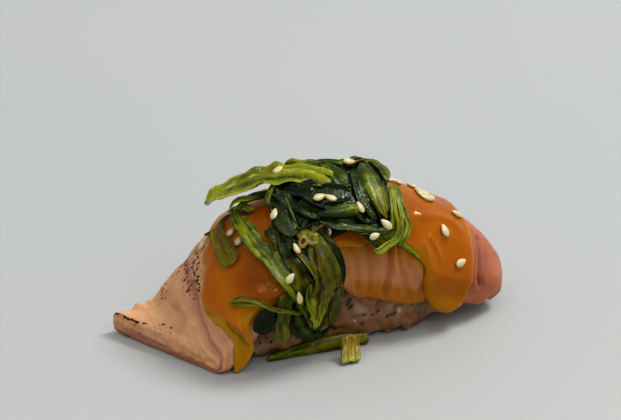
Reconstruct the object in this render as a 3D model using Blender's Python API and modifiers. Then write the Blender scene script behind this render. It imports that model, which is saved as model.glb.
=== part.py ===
"""Seared salmon nigiri: a hand-pressed rice block, a thick salmon slice bent over it, a coat of
sauce that runs down the slice, and a heap of seaweed salad on top that hangs down the front.

Metres, +Z up. X runs along the slice, -Y is the front, and Z = 0 is the surface it stands on.
"""

import math

import bmesh
import bpy
from mathutils import Vector, noise
from mathutils.bvhtree import BVHTree

MM = 0.001

# Salmon slice, from its left end to its right: the front and back ends of the upper surface, how
# far the middle stands above the line between them, and the thickness there, in millimetres.
SLICE_STATIONS = (
    {"front": (-22.9, -12.8, 2.1), "back": (-35.8, 10.0, 4.6), "crown": 0.4, "thick": 4.4},
    {"front": (-19.6, -13.2, 7.0), "back": (-29.8, 10.8, 3.9), "crown": 1.0, "thick": 4.8},
    {"front": (-15.4, -13.2, 12.4), "back": (-24.2, 11.0, 9.0), "crown": 2.1, "thick": 5.2},
    {"front": (-9.5, -13.0, 16.2), "back": (-17.4, 11.0, 15.4), "crown": 4.6, "thick": 5.6},
    {"front": (-1.5, -12.8, 18.0), "back": (-8.6, 11.0, 19.0), "crown": 6.4, "thick": 5.8},
    {"front": (7.0, -12.5, 17.2), "back": (0.6, 11.0, 20.2), "crown": 7.4, "thick": 5.8},
    {"front": (15.0, -12.0, 14.2), "back": (10.2, 10.8, 19.0), "crown": 7.8, "thick": 5.8},
    {"front": (22.5, -11.6, 10.8), "back": (19.0, 10.4, 15.6), "crown": 7.6, "thick": 6.0},
    {"front": (28.8, -11.0, 8.6), "back": (26.2, 9.8, 10.8), "crown": 6.6, "thick": 6.2},
    {"front": (33.6, -9.6, 6.2), "back": (31.2, 8.6, 6.4), "crown": 4.8, "thick": 5.6},
    {"front": (35.4, -7.8, 3.2), "back": (33.4, 7.2, 3.0), "crown": 3.0, "thick": 3.0},
)
CROWN_POWER = 2.3
UPRIGHT_END = 0.2
SLICE_STEPS = 40
SLICE_ACROSS = 14
SLICE_EDGE = 1.3 * MM
SIDE_UNIT = 13.0 * MM
CORNER_BLEND = 0.12
BOARD_CLEARANCE = 0.15 * MM

# Rice block
RICE_CENTRE_X = 4.0 * MM
RICE_LENGTH = 49.0 * MM
RICE_WIDTH = 20.5 * MM
RICE_HEIGHT = 24.0 * MM
RICE_CORNER = 6.5 * MM
RICE_SKEW = 0.35
RICE_CUTS = (20, 8, 8)
GRAIN_SPACING = 4.2 * MM
GRAIN_RELIEF = 0.5 * MM
RICE_FOOT = 0.8 * MM
RICE_GAP = 0.4 * MM
RICE_REACH = 0.9 * MM

# Sauce coat: its four rims on the slice, each place a share of the way along the slice and a
# number across it, which is -1 at the front edge, 1 at the back edge, and a further unit for
# each SIDE_UNIT down a side.
SAUCE_GAP = 0.5 * MM
SAUCE_THICK = 1.3 * MM
SAUCE_RIM = 0.4
SAUCE_FRONT = (
    (0.068, -1.42), (0.112, -1.40), (0.145, -1.10), (0.195, -1.09), (0.26, -1.26), (0.35, -1.16),
    (0.43, -1.02), (0.50, -0.98), (0.57, -1.06), (0.635, -1.36), (0.71, -1.53), (0.765, -1.44),
)
SAUCE_LEFT = ((0.068, -1.42), (0.094, -0.86), (0.150, -0.22), (0.236, 0.18), (0.34, 0.86))
SAUCE_RIGHT = ((0.765, -1.44), (0.752, -0.95), (0.744, -0.4), (0.755, 0.25), (0.73, 0.9))
SAUCE_BACK = (
    (0.34, 0.86), (0.385, 1.10), (0.43, 1.22), (0.48, 1.04), (0.54, 0.93), (0.60, 1.02),
    (0.65, 1.24), (0.69, 1.16), (0.73, 0.9),
)
SAUCE_STEPS = 30
SAUCE_ACROSS = 20

# Seaweed heap: its outline in the same numbers, once round from the right by way of the back.
HEAP_MIDDLE = (0.40, -0.30)
HEAP_OUTLINE = (
    (0.585, -0.28), (0.585, 0.0), (0.555, 0.38), (0.49, 0.62), (0.41, 0.76), (0.335, 0.76),
    (0.300, 0.50), (0.288, 0.20), (0.262, -0.06), (0.242, -0.34), (0.258, -0.55), (0.268, -0.74),
    (0.252, -0.92), (0.232, -1.10), (0.205, -1.34), (0.195, -1.62), (0.225, -1.90),
    (0.280, -2.02), (0.335, -1.88), (0.375, -1.60), (0.402, -1.30), (0.412, -1.02),
    (0.445, -0.92), (0.495, -1.0), (0.550, -0.98), (0.568, -0.74), (0.575, -0.5),
)
HEAP_FLOOR = 2.5 * MM
HEAP_RISE = 3.7 * MM
HANG_RISE = 1.6 * MM
HEAP_RIM = 1.2 * MM
HEAP_RIDGE = 0.9 * MM
HEAP_RIDGE_SPACING = 4.5 * MM
HEAP_RINGS = 10
HEAP_SPOKES = 54

# A stem that leans along the foot of the rice, each place with how tall it is there, and a strip
# that leans on the heap's foot
STEM_PATH = (
    (-11.6, -11.8, 1.3), (-7.4, -11.9, 2.0), (-3.0, -12.1, 2.6), (1.6, -12.3, 2.5),
    (6.0, -12.1, 1.9),
)
STEM_LEAN = 0.35
STEM_THICK = 1.1 * MM
STRIP_TOP = (1.5, -15.0, 4.0)
STRIP_FOOT = (0.4, -17.6, 0.8)
STRIP_WIDE = 3.4 * MM
STRIP_THICK = 1.0 * MM


def curve_through(points, t):
    """The place at t, from 0 to 1, on a smooth curve through evenly numbered points."""
    span = len(points) - 1
    t = min(max(t, 0.0), 1.0) * span
    i = min(int(t), span - 1)
    f = t - i
    before, here = points[max(i - 1, 0)], points[i]
    after, beyond = points[i + 1], points[min(i + 2, span)]
    return 0.5 * (
        2 * here
        + (after - before) * f
        + (2 * before - 5 * here + 4 * after - beyond) * f**2
        + (3 * here - before - 3 * after + beyond) * f**3
    )


def smooth_step(x):
    x = min(max(x, 0.0), 1.0)
    return x * x * (3 - 2 * x)


FRONT_EDGE = [Vector(station["front"]) * MM for station in SLICE_STATIONS]
BACK_EDGE = [Vector(station["back"]) * MM for station in SLICE_STATIONS]
CROWN = [station["crown"] * MM for station in SLICE_STATIONS]
THICKNESS = [station["thick"] * MM for station in SLICE_STATIONS]


def section(u):
    """The slice's cross-section at u: its middle, the way across to the back, and the way up."""
    front, back = curve_through(FRONT_EDGE, u), curve_through(BACK_EDGE, u)
    step = 0.01
    ahead = (
        curve_through(FRONT_EDGE, u + step) + curve_through(BACK_EDGE, u + step)
        - curve_through(FRONT_EDGE, u - step) - curve_through(BACK_EDGE, u - step)
    )
    across = back - front
    square_on = ahead.cross(across).normalized()
    upright = 1 - smooth_step(u / UPRIGHT_END)
    return (front + back) / 2, across, square_on.lerp(Vector((0, 0, 1)), upright).normalized()


def skin(u, v):
    """A place on the slice's outside, and the way out of it there.

    v is -1 at the front edge and 1 at the back edge, and past them it goes on down the sides.
    """
    middle, across, up = section(u)
    crown = curve_through(CROWN, u)
    on_top = min(max(v, -1.0), 1.0)
    down = (abs(v) - abs(on_top)) * SIDE_UNIT
    place = middle + across * on_top / 2 + up * (crown * (1 - abs(on_top) ** CROWN_POWER) - down)
    slope = CROWN_POWER * crown * abs(on_top) ** (CROWN_POWER - 1) / (across.length / 2)
    sideways = across.normalized() * math.copysign(1, v)
    top_out = (up + sideways * slope).normalized()
    to_side = smooth_step((abs(v) - 1) / CORNER_BLEND / 2 + 0.5)
    return place, (top_out * (1 - to_side) + sideways * to_side).normalized()


def finished(name, bm, colour, roughness):
    """The solid as an object with its material, shaded smooth except over sharp edges."""
    bmesh.ops.recalc_face_normals(bm, faces=bm.faces)
    if bm.calc_volume(signed=True) < 0:
        bmesh.ops.reverse_faces(bm, faces=bm.faces)
    mesh = bpy.data.meshes.new(name)
    bm.to_mesh(mesh)
    bm.free()
    mesh.shade_smooth()
    made = bpy.data.objects.new(name, mesh)
    collection.objects.link(made)
    material = bpy.data.materials.new(name)
    material.use_nodes = True
    surface = material.node_tree.nodes["Principled BSDF"]
    surface.inputs["Base Color"].default_value = (*colour, 1)
    surface.inputs["Roughness"].default_value = roughness
    mesh.materials.append(material)
    return made


def two_sided_grid(steps, across, upper, lower):
    """A closed slab from one grid: upper(x, y) places its top and lower(x, y) its underside."""
    bm = bmesh.new()
    x_of = bm.verts.layers.float.new("x")
    y_of = bm.verts.layers.float.new("y")
    bmesh.ops.create_grid(bm, x_segments=steps, y_segments=across, size=1)
    for vertex in bm.verts:
        vertex[x_of], vertex[y_of] = vertex.co.x, vertex.co.y
    made = bmesh.ops.extrude_face_region(bm, geom=bm.faces[:])
    below = {item for item in made["geom"] if isinstance(item, bmesh.types.BMVert)}
    for vertex in bm.verts:
        place = lower if vertex in below else upper
        vertex.co = place(vertex[x_of], vertex[y_of])
    return bm


def build_salmon():
    """The slice: its underside is its top moved down, and its left end lies flat on the board."""

    def top(x, y):
        return skin((x + 1) / 2, y)[0]

    def underside(x, y):
        u = (x + 1) / 2
        up = section(u)[2]
        place = top(x, y)
        thick = curve_through(THICKNESS, u)
        if up.z > 0:
            thick = min(thick, (place.z - BOARD_CLEARANCE) / up.z)
        return place - up * thick

    bm = two_sided_grid(SLICE_STEPS, SLICE_ACROSS, top, underside)
    salmon = finished("salmon", bm, (0.72, 0.42, 0.28), 0.45)
    edge = salmon.modifiers.new("rounded edge", "BEVEL")
    edge.width = SLICE_EDGE
    edge.segments = 2
    edge.limit_method = "ANGLE"
    edge.angle_limit = math.radians(38)
    return salmon


def build_rice(salmon):
    """The pressed block, lumpy with grains, pressed lower wherever the slice comes down over it."""
    bm = bmesh.new()
    bmesh.ops.create_cube(bm, size=1)
    for axis, cuts in enumerate(RICE_CUTS):
        along = [e for e in bm.edges if abs((e.verts[0].co - e.verts[1].co)[axis]) > 1e-6]
        bmesh.ops.subdivide_edges(bm, edges=along, cuts=cuts, use_grid_fill=True)
    size = Vector((RICE_LENGTH, RICE_WIDTH, RICE_HEIGHT))
    inner = size / 2 - Vector((RICE_CORNER,) * 3)
    slice_surface = BVHTree.FromObject(salmon, bpy.context.evaluated_depsgraph_get())

    def room_above(spot):
        """The height of the slice's underside over this spot and close about it."""
        heights = [RICE_HEIGHT]
        for dx, dy in ((0, 0), (1, 0), (-1, 0), (0, 1), (0, -1)):
            foot = Vector((spot.x + dx * RICE_REACH, spot.y + dy * RICE_REACH, -MM))
            above = slice_surface.ray_cast(foot, Vector((0, 0, 1)))[0]
            if above:
                heights.append(above.z - RICE_GAP)
        return min(heights)

    for vertex in bm.verts:
        spot = Vector(a * b for a, b in zip(vertex.co, size))
        core = Vector(min(max(a, -b), b) for a, b in zip(spot, inner))
        outward = (spot - core).normalized()
        spot = core + outward * RICE_CORNER
        grain = noise.noise(spot / GRAIN_SPACING) + 0.5 * noise.noise(spot * 2 / GRAIN_SPACING)
        spot += outward * GRAIN_RELIEF * grain
        spot.x += RICE_CENTRE_X - spot.y * RICE_SKEW * (0.5 - spot.x / RICE_LENGTH)
        spot.z = min(max(spot.z + RICE_HEIGHT / 2 - RICE_FOOT, 0.0), RICE_HEIGHT)
        spot.z *= max(room_above(spot), RICE_FOOT) / RICE_HEIGHT
        vertex.co = spot
    return finished("rice", bm, (0.80, 0.77, 0.68), 0.5)


def build_sauce():
    """The coat between its four rims, thinner towards them, with tongues run down the sides."""
    front, left, right, back = (
        [Vector(place) for place in rim]
        for rim in (SAUCE_FRONT, SAUCE_LEFT, SAUCE_RIGHT, SAUCE_BACK)
    )

    def spot(x, y):
        along, across = (x + 1) / 2, (y + 1) / 2
        u, v = (
            curve_through(front, along).lerp(curve_through(back, along), across)
            + curve_through(left, across).lerp(curve_through(right, across), along)
            - front[0].lerp(front[-1], along).lerp(back[0].lerp(back[-1], along), across)
        )
        return skin(u, v)

    def inside(x, y):
        place, out = spot(x, y)
        place += out * SAUCE_GAP
        place.z = max(place.z, BOARD_CLEARANCE)
        return place

    def outside(x, y):
        place, out = spot(x, y)
        fullness = math.sqrt(1 - max(abs(x), abs(y)) ** 8)
        place += out * (SAUCE_GAP + SAUCE_THICK * (SAUCE_RIM + (1 - SAUCE_RIM) * fullness))
        place.z = max(place.z, BOARD_CLEARANCE)
        return place

    bm = two_sided_grid(SAUCE_STEPS, SAUCE_ACROSS, outside, inside)
    return finished("sauce", bm, (0.62, 0.24, 0.02), 0.25)


def build_seaweed():
    """The heap: rings about its middle out to its outline, raised into strand-like ridges."""
    outline = [Vector(place) for place in HEAP_OUTLINE]
    outline.append(outline[0])
    middle = Vector(HEAP_MIDDLE)

    def spot(ring, spoke):
        edge = curve_through(outline, spoke / HEAP_SPOKES)
        u, v = middle.lerp(edge, ring / HEAP_RINGS)
        return (*skin(u, v), v)

    def inside(ring, spoke):
        place, out, _ = spot(ring, spoke)
        return place + out * HEAP_FLOOR

    def outside(ring, spoke):
        place, out, v = spot(ring, spoke)
        hanging = smooth_step((-v - 0.6) / 0.6)
        rise = HEAP_RISE + (HANG_RISE - HEAP_RISE) * hanging
        rise += HEAP_RIDGE * 2 * noise.noise(place / HEAP_RIDGE_SPACING)
        fullness = math.sqrt(1 - (ring / HEAP_RINGS) ** 3)
        return place + out * (HEAP_FLOOR + HEAP_RIM + rise * fullness)

    bm = bmesh.new()
    sheets = []
    for place in (outside, inside):
        centre = bm.verts.new(place(0, 0))
        rings = [
            [bm.verts.new(place(ring, spoke)) for spoke in range(HEAP_SPOKES)]
            for ring in range(1, HEAP_RINGS + 1)
        ]
        for i in range(HEAP_SPOKES):
            j = (i + 1) % HEAP_SPOKES
            bm.faces.new((centre, rings[0][i], rings[0][j]))
            for near, far in zip(rings, rings[1:]):
                bm.faces.new((near[i], far[i], far[j], near[j]))
        sheets.append(rings[-1])
    for i in range(HEAP_SPOKES):
        j = (i + 1) % HEAP_SPOKES
        bm.faces.new((sheets[0][i], sheets[1][i], sheets[1][j], sheets[0][j]))
    for vertex in bm.verts:
        vertex.co.z = max(vertex.co.z, BOARD_CLEARANCE)
    return finished("seaweed", bm, (0.08, 0.16, 0.02), 0.3)


def build_stem():
    """A limp flat stem on its edge, leaning along the foot of the rice to a free end."""
    path = [Vector(place) * MM for place in STEM_PATH]

    def outer(x, y):
        along, across, tall = curve_through(path, (x + 1) / 2)
        height = BOARD_CLEARANCE + tall * (y + 1) / 2
        return Vector((along, across + height * STEM_LEAN, height))

    def inner(x, y):
        return outer(x, y) + Vector((0, STEM_THICK * (1 - 0.4 * y * y), 0))

    return finished("stem", two_sided_grid(12, 4, outer, inner), (0.16, 0.20, 0.02), 0.3)


def build_strip():
    """A short cut strip, one end on the board and the other against the heap's foot."""
    upper, foot = Vector(STRIP_TOP) * MM, Vector(STRIP_FOOT) * MM
    way = upper - foot
    sideways = Vector((1, 0, 0))
    out = sideways.cross(way).normalized()

    def back(x, y):
        bow = out * (1 - x * x) * STRIP_THICK * 0.4
        return foot.lerp(upper, (x + 1) / 2) + sideways * STRIP_WIDE / 2 * y + bow

    def front(x, y):
        return back(x, y) - out * STRIP_THICK

    return finished("strip", two_sided_grid(6, 4, back, front), (0.75, 0.62, 0.02), 0.3)


for old in list(bpy.data.objects):
    bpy.data.objects.remove(old)
collection = bpy.data.collections.new("salmon nigiri")
bpy.context.scene.collection.children.link(collection)
build_rice(build_salmon())
build_sauce()
build_seaweed()
build_stem()
build_strip()
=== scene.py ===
"""The looks of a seared salmon nigiri: a rice block under a bent salmon slice, a coat of sauce, a
heap of seaweed salad, sesame seeds and burnt crumbs. The sections follow the order it is made in.

Metres, +Z up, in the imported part's own frame: X runs along the slice and -Y is the front.
"""

import math

import bmesh
import bpy
import numpy as np
from mathutils import Matrix, Vector, noise
from mathutils.bvhtree import BVHTree


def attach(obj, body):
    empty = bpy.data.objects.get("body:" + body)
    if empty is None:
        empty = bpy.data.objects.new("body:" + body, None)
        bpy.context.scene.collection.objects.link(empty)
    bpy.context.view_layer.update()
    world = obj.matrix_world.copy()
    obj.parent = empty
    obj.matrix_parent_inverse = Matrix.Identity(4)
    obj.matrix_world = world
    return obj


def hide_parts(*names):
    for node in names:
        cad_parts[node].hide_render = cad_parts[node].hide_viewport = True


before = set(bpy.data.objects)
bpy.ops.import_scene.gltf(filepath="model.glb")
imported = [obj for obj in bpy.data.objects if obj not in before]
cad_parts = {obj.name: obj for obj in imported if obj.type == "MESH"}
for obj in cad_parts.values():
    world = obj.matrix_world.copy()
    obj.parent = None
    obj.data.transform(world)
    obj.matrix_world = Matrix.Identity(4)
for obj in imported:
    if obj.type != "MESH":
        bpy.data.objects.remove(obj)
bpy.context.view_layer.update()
scene = bpy.context.scene

# ---------------------------------------------------------------------------------------------
# Table, light and camera
# The nigiri stands on a plain pale matt board. One soft light hangs over its right, a faint one
# stands before it, and four small ones fill in. Four more show only as glints in what is wet. The
# camera is at its left front.
# ---------------------------------------------------------------------------------------------

MM = 0.001
BOARD_SIZE = 3.0
BOARD_TONE = (167, 168, 166)
# Where each lamp hangs, its width and depth in metres, its power, and whether it only glints
LAMPS = (
    ((0.78, 0.06, 1.20), (0.42, 0.42), 14.0, False),
    ((0.25, -0.85, 0.85), (0.50, 0.40), 1.0, False),
    ((-0.25, -0.85, 1.05), (0.06, 0.05), 1.0, False),
    ((-0.65, -0.15, 1.20), (0.06, 0.05), 0.8, False),
    ((0.45, -0.60, 1.20), (0.06, 0.05), 0.8, False),
    ((-0.10, -0.15, 1.40), (0.06, 0.05), 0.8, False),
    ((-0.25, -0.85, 1.05), (0.05, 0.04), 4.0, True),
    ((-0.65, -0.15, 1.20), (0.05, 0.04), 4.0, True),
    ((0.45, -0.60, 1.20), (0.05, 0.04), 4.0, True),
    ((-0.10, -0.15, 1.40), (0.05, 0.04), 4.0, True),
)
ROOM_TONE = (0.92, 0.97, 1.0)
ROOM_STRENGTH = 0.54
CAMERA_AZIMUTH = -22.0
CAMERA_HEIGHT_ANGLE = 24.0
CAMERA_DISTANCE = 0.380
CAMERA_AIM = (0.01898, 0.04772, 0.0)
CAMERA_LENS = 103.5


def tone(red, green, blue):
    """A colour given as it looks on a screen, 0 to 255 a channel, as the linear one paint takes."""
    looks = [channel / 255 for channel in (red, green, blue)]
    linear = [c / 12.92 if c <= 0.04045 else ((c + 0.055) / 1.055) ** 2.4 for c in looks]
    return (*linear, 1.0)


def node(tree, kind, inputs=None, **settings):
    """A new node with its settings, and its inputs by name or number: each a value or a socket."""
    made = tree.nodes.new(kind)
    for name, value in settings.items():
        setattr(made, name, value)
    for name, value in (inputs or {}).items():
        if isinstance(value, bpy.types.NodeSocket):
            tree.links.new(value, made.inputs[name])
        else:
            made.inputs[name].default_value = value
    return made


def paint(name, roughness, **surface):
    """A new material's tree and its surface shader, with what is the same all over it."""
    material = bpy.data.materials.new(name)
    material.use_nodes = True
    shader = material.node_tree.nodes["Principled BSDF"]
    shader.inputs["Roughness"].default_value = roughness
    for socket, value in surface.items():
        shader.inputs[socket.replace("_", " ")].default_value = value
    return material, material.node_tree, shader


def speckle(tree, size, detail=2.0, where=None, stretch=(1, 1, 1), roughness=0.5):
    """Soft random patches of this size, in metres on the object or in units of `where`."""
    if where is None:
        where = node(tree, "ShaderNodeTexCoord").outputs["Object"]
    spread = node(tree, "ShaderNodeMapping", {"Vector": where, "Scale": stretch})
    inputs = {"Vector": spread.outputs[0], "Scale": 1 / size, "Detail": detail, "Roughness": roughness}
    return node(tree, "ShaderNodeTexNoise", inputs).outputs["Fac"]


def level(tree, value, low, high, bottom=0.0, top=1.0):
    """The value brought from the range low..high to bottom..top, smoothly, and held there."""
    inputs = {"Value": value, 1: low, 2: high, 3: bottom, 4: top}
    return node(tree, "ShaderNodeMapRange", inputs, interpolation_type="SMOOTHSTEP").outputs[0]


def sums(tree, operation, first, second):
    """One sum on two values or sockets."""
    return node(tree, "ShaderNodeMath", {0: first, 1: second}, operation=operation).outputs[0]


def mixed(tree, share, first, second):
    """The first colour turned into the second by a share, which is a value or a socket."""
    return node(tree, "ShaderNodeMix", {0: share, 6: first, 7: second}, data_type="RGBA").outputs[2]


def carried(tree, name, output="Fac"):
    """A number, or a place, that the mesh carries at each of its points."""
    return node(tree, "ShaderNodeAttribute", attribute_name=name).outputs[output]


def embossed(tree, shader, height, distance, strength=1.0):
    """Fine relief on the shader, as high as `distance` in metres where the height is 1."""
    inputs = {"Height": height, "Distance": distance, "Strength": strength}
    bump = node(tree, "ShaderNodeBump", inputs)
    tree.links.new(bump.outputs[0], shader.inputs["Normal"])


def new_piece(name, places, faces, material, carries=None):
    """A smooth mesh object from arrays of places and faces, and the numbers each place carries."""
    mesh = bpy.data.meshes.new(name)
    faces = faces.tolist() if isinstance(faces, np.ndarray) else faces
    mesh.from_pydata(np.asarray(places).tolist(), [], faces)
    for label, values in (carries or {}).items():
        values = np.asarray(values, np.float32)
        kind, field = ("FLOAT", "value") if values.ndim == 1 else ("FLOAT_VECTOR", "vector")
        mesh.attributes.new(label, kind, "POINT").data.foreach_set(field, values.ravel())
    mesh.materials.append(material)
    mesh.shade_smooth()
    mesh.update()
    piece = bpy.data.objects.new(name, mesh)
    scene.collection.objects.link(piece)
    return piece


board_paint, tree, shader = paint("matt board", 0.55, Specular_IOR_Level=0.3)
cloud = speckle(tree, 0.22, detail=1.0)
base = mixed(tree, level(tree, cloud, 0.3, 0.7), tone(*BOARD_TONE), tone(171, 171, 168))
tree.links.new(base, shader.inputs["Base Color"])
corner = BOARD_SIZE / 2
board = new_piece("board", [(-corner, -corner, 0), (corner, -corner, 0), (corner, corner, 0),
                            (-corner, corner, 0)], [(0, 1, 2, 3)], board_paint)

for place, size, power, only_glints in LAMPS:
    lamp_data = bpy.data.lights.new("soft light", "AREA")
    lamp_data.shape = "RECTANGLE"
    lamp_data.size, lamp_data.size_y = size
    lamp_data.energy = power
    lamp = bpy.data.objects.new("soft light", lamp_data)
    lamp.location = place
    lamp.rotation_euler = (-Vector(place)).to_track_quat("-Z", "Y").to_euler()
    lamp.visible_diffuse = not only_glints
    scene.collection.objects.link(lamp)

room = bpy.data.worlds.new("room")
room.use_nodes = True
air = room.node_tree.nodes["Background"]
air.inputs["Color"].default_value = (*ROOM_TONE, 1)
air.inputs["Strength"].default_value = ROOM_STRENGTH
scene.world = room
scene.view_settings.view_transform = "Standard"
scene.view_settings.look = "Medium High Contrast"

azimuth, height_angle = math.radians(CAMERA_AZIMUTH), math.radians(CAMERA_HEIGHT_ANGLE)
back_to_camera = Vector((math.sin(azimuth) * math.cos(height_angle),
                         -math.cos(azimuth) * math.cos(height_angle), math.sin(height_angle)))
camera_data = bpy.data.cameras.new("camera")
camera_data.lens = CAMERA_LENS
camera_data.sensor_width = 36.0
camera_data.clip_start = 0.01
camera = bpy.data.objects.new("camera", camera_data)
camera.location = Vector(CAMERA_AIM) + back_to_camera * CAMERA_DISTANCE
camera.rotation_euler = (-back_to_camera).to_track_quat("-Z", "Y").to_euler()
scene.collection.objects.link(camera)
scene.camera = camera

# ---------------------------------------------------------------------------------------------
# Salmon slice
# One thick slice of salmon, cut across the grain so that its flakes run over it, bent over the
# rice with its left end flat on the board. Its top is seared with a torch: tan, with burnt spots.
# ---------------------------------------------------------------------------------------------

SLICE_STATIONS = (
    {"front": (-22.9, -12.8, 2.1), "back": (-35.8, 10.0, 4.6), "crown": 0.4, "thick": 4.4},
    {"front": (-19.6, -13.2, 7.0), "back": (-29.8, 10.8, 3.9), "crown": 1.0, "thick": 4.8},
    {"front": (-15.4, -13.2, 12.4), "back": (-24.2, 11.0, 9.0), "crown": 2.1, "thick": 5.2},
    {"front": (-9.5, -13.0, 16.2), "back": (-17.4, 11.0, 15.4), "crown": 4.6, "thick": 5.6},
    {"front": (-1.5, -12.8, 18.0), "back": (-8.6, 11.0, 19.0), "crown": 6.4, "thick": 5.8},
    {"front": (7.0, -12.5, 17.2), "back": (0.6, 11.0, 20.2), "crown": 7.4, "thick": 5.8},
    {"front": (15.0, -12.0, 14.2), "back": (10.2, 10.8, 19.0), "crown": 7.8, "thick": 5.8},
    {"front": (22.5, -11.6, 10.8), "back": (19.0, 10.4, 15.6), "crown": 7.6, "thick": 6.0},
    {"front": (28.8, -11.0, 8.6), "back": (26.2, 9.8, 10.8), "crown": 7.0, "thick": 6.2},
    {"front": (33.6, -9.6, 6.2), "back": (31.2, 8.6, 6.4), "crown": 5.4, "thick": 5.6},
    {"front": (35.4, -7.8, 3.2), "back": (33.4, 7.2, 3.0), "crown": 3.0, "thick": 3.0},
)
CROWN_POWER = 2.3
UPRIGHT_END = 0.2
SIDE_UNIT = 13.0 * MM
CORNER_BLEND = 0.12
BOARD_CLEARANCE = 0.15 * MM
SLICE_LENGTH = 75.0
SLICE_WIDTH = 25.0
SLICE_THICK = 5.5
SLICE_EDGE = 1.3
SLICE_CUTS = (260, 92, 18)
SIDE_DROOP = 3.2 * MM

# Where one flake's edge runs over the top: how far along the slice, for places across it. All the
# marks on the ramp run beside it.
FLAKE_LEAN = ((-2.2, 0.0), (-1.4, 0.008), (-0.95, 0.03), (-0.63, 0.055), (-0.30, 0.102),
              (0.03, 0.158), (0.29, 0.193), (0.63, 0.225), (0.97, 0.25), (1.6, 0.27))
# Grooves between flakes: their path over the slice, depth and width in millimetres
FLAKE_GROOVES = (
    {"path": ((0.193, 0.29), (0.158, 0.035), (0.102, -0.305), (0.055, -0.63), (0.03, -0.95),
              (0.012, -1.3)), "deep": 0.62, "wide": 0.62},
    {"path": ((0.25, 0.97), (0.225, 0.63), (0.193, 0.29)), "deep": 0.35, "wide": 1.0},
    {"path": ((0.118, 0.30), (0.088, 0.05), (0.05, -0.12)), "deep": 0.28, "wide": 0.8},
    {"path": ((0.150, 0.66), (0.118, 0.30)), "deep": 0.22, "wide": 0.8},
    {"path": ((0.335, 1.3), (0.30, 0.5), (0.24, -0.3), (0.215, -1.0), (0.20, -1.5)),
     "deep": 0.4, "wide": 0.6},
    {"path": ((0.39, 1.3), (0.37, 0.4), (0.33, -0.5), (0.315, -1.05), (0.31, -1.5)),
     "deep": 0.35, "wide": 0.55},
    {"path": ((0.435, 1.35), (0.43, 0.3), (0.41, -0.6), (0.405, -1.0), (0.41, -1.5)),
     "deep": 0.35, "wide": 0.5},
    {"path": ((0.49, 1.35), (0.48, 0.2), (0.46, -0.6), (0.458, -1.04), (0.463, -1.45)),
     "deep": 0.32, "wide": 0.38},
    {"path": ((0.53, 1.35), (0.52, 0.2), (0.495, -0.6), (0.49, -1.04), (0.497, -1.45)),
     "deep": 0.32, "wide": 0.38},
    {"path": ((0.575, 1.35), (0.57, 0.2), (0.545, -0.6), (0.542, -0.93), (0.543, -1.2),
              (0.538, -1.45)), "deep": 0.75, "wide": 0.42},
    {"path": ((0.527, -0.95), (0.532, -1.2), (0.542, -1.43)), "deep": 0.3, "wide": 0.35},
    {"path": ((0.62, 1.35), (0.60, 0.2), (0.57, -0.6), (0.562, -0.985), (0.585, -1.15),
              (0.608, -1.31), (0.632, -1.40)), "deep": 0.4, "wide": 0.42},
    {"path": ((0.585, -1.0), (0.61, -1.12), (0.64, -1.22)), "deep": 0.25, "wide": 0.4},
    {"path": ((0.675, 1.35), (0.66, 0.2), (0.64, -0.6), (0.64, -1.4)), "deep": 0.35, "wide": 0.5},
    {"path": ((0.73, 1.35), (0.72, 0.2), (0.71, -0.6), (0.71, -1.5)), "deep": 0.35, "wide": 0.5},
    {"path": ((0.79, 1.3), (0.785, 0.6), (0.79, 0.1)), "deep": 0.3, "wide": 0.5},
    {"path": ((0.795, -0.50), (0.802, -0.70), (0.803, -0.80), (0.803, -0.90), (0.804, -0.99), (0.82, -1.08)),
     "deep": 1.1, "wide": 0.55},
    {"path": ((0.85, 1.3), (0.84, 0.5), (0.83, -0.1)), "deep": 0.35, "wide": 0.6},
    {"path": ((0.92, 1.1), (0.91, 0.3)), "deep": 0.3, "wide": 0.6},
)
BULGE_CREASE = (
    (0.797, -0.57), (0.802, -0.70), (0.803, -0.80), (0.803, -0.90), (0.804, -0.99), (0.82, -1.08),
)
RAW_PINK = (158, 90, 60)
TORCHED_TAN = (205, 156, 116)
FLAKE_MAUVE = (172, 118, 98)
BURNT = (30, 16, 8)
CREASE_RED = (118, 50, 34)
CHAR_PITCH = 0.85 * MM

MIDDLE_MARK = 12.5


def curve(stops, t):
    """Places at each t, from 0 to 1, on a smooth curve through evenly numbered stops."""
    stops = np.asarray(stops, float)
    span = len(stops) - 1
    t = np.clip(t, 0, 1) * span
    i = np.minimum(t.astype(int), span - 1)
    f = (t - i).reshape(t.shape + (1,) * (stops.ndim - 1))
    before, here = stops[np.maximum(i - 1, 0)], stops[i]
    after, beyond = stops[i + 1], stops[np.minimum(i + 2, span)]
    bend = (2 * before - 5 * here + 4 * after - beyond) * f**2
    return 0.5 * (2 * here + (after - before) * f + bend + (3 * here - before - 3 * after + beyond) * f**3)


def smooth_step(x):
    x = np.clip(x, 0, 1)
    return x * x * (3 - 2 * x)


def unit(vectors):
    return vectors / np.maximum(np.linalg.norm(vectors, axis=-1, keepdims=True), 1e-12)


FRONT_EDGE = np.array([station["front"] for station in SLICE_STATIONS]) * MM
BACK_EDGE = np.array([station["back"] for station in SLICE_STATIONS]) * MM
CROWN = np.array([station["crown"] for station in SLICE_STATIONS]) * MM
THICKNESS = np.array([station["thick"] for station in SLICE_STATIONS]) * MM


def section(u):
    """The slice's cross-section at each u: its middle, the way across to the back, and up."""
    front, back = curve(FRONT_EDGE, u), curve(BACK_EDGE, u)
    step = 0.01
    ahead = (curve(FRONT_EDGE, u + step) + curve(BACK_EDGE, u + step)
             - curve(FRONT_EDGE, u - step) - curve(BACK_EDGE, u - step))
    across = back - front
    upright = (1 - smooth_step(u / UPRIGHT_END))[..., None]
    up = unit(unit(np.cross(ahead, across)) * (1 - upright) + np.array((0, 0, 1)) * upright)
    return (front + back) / 2, across, up


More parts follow.
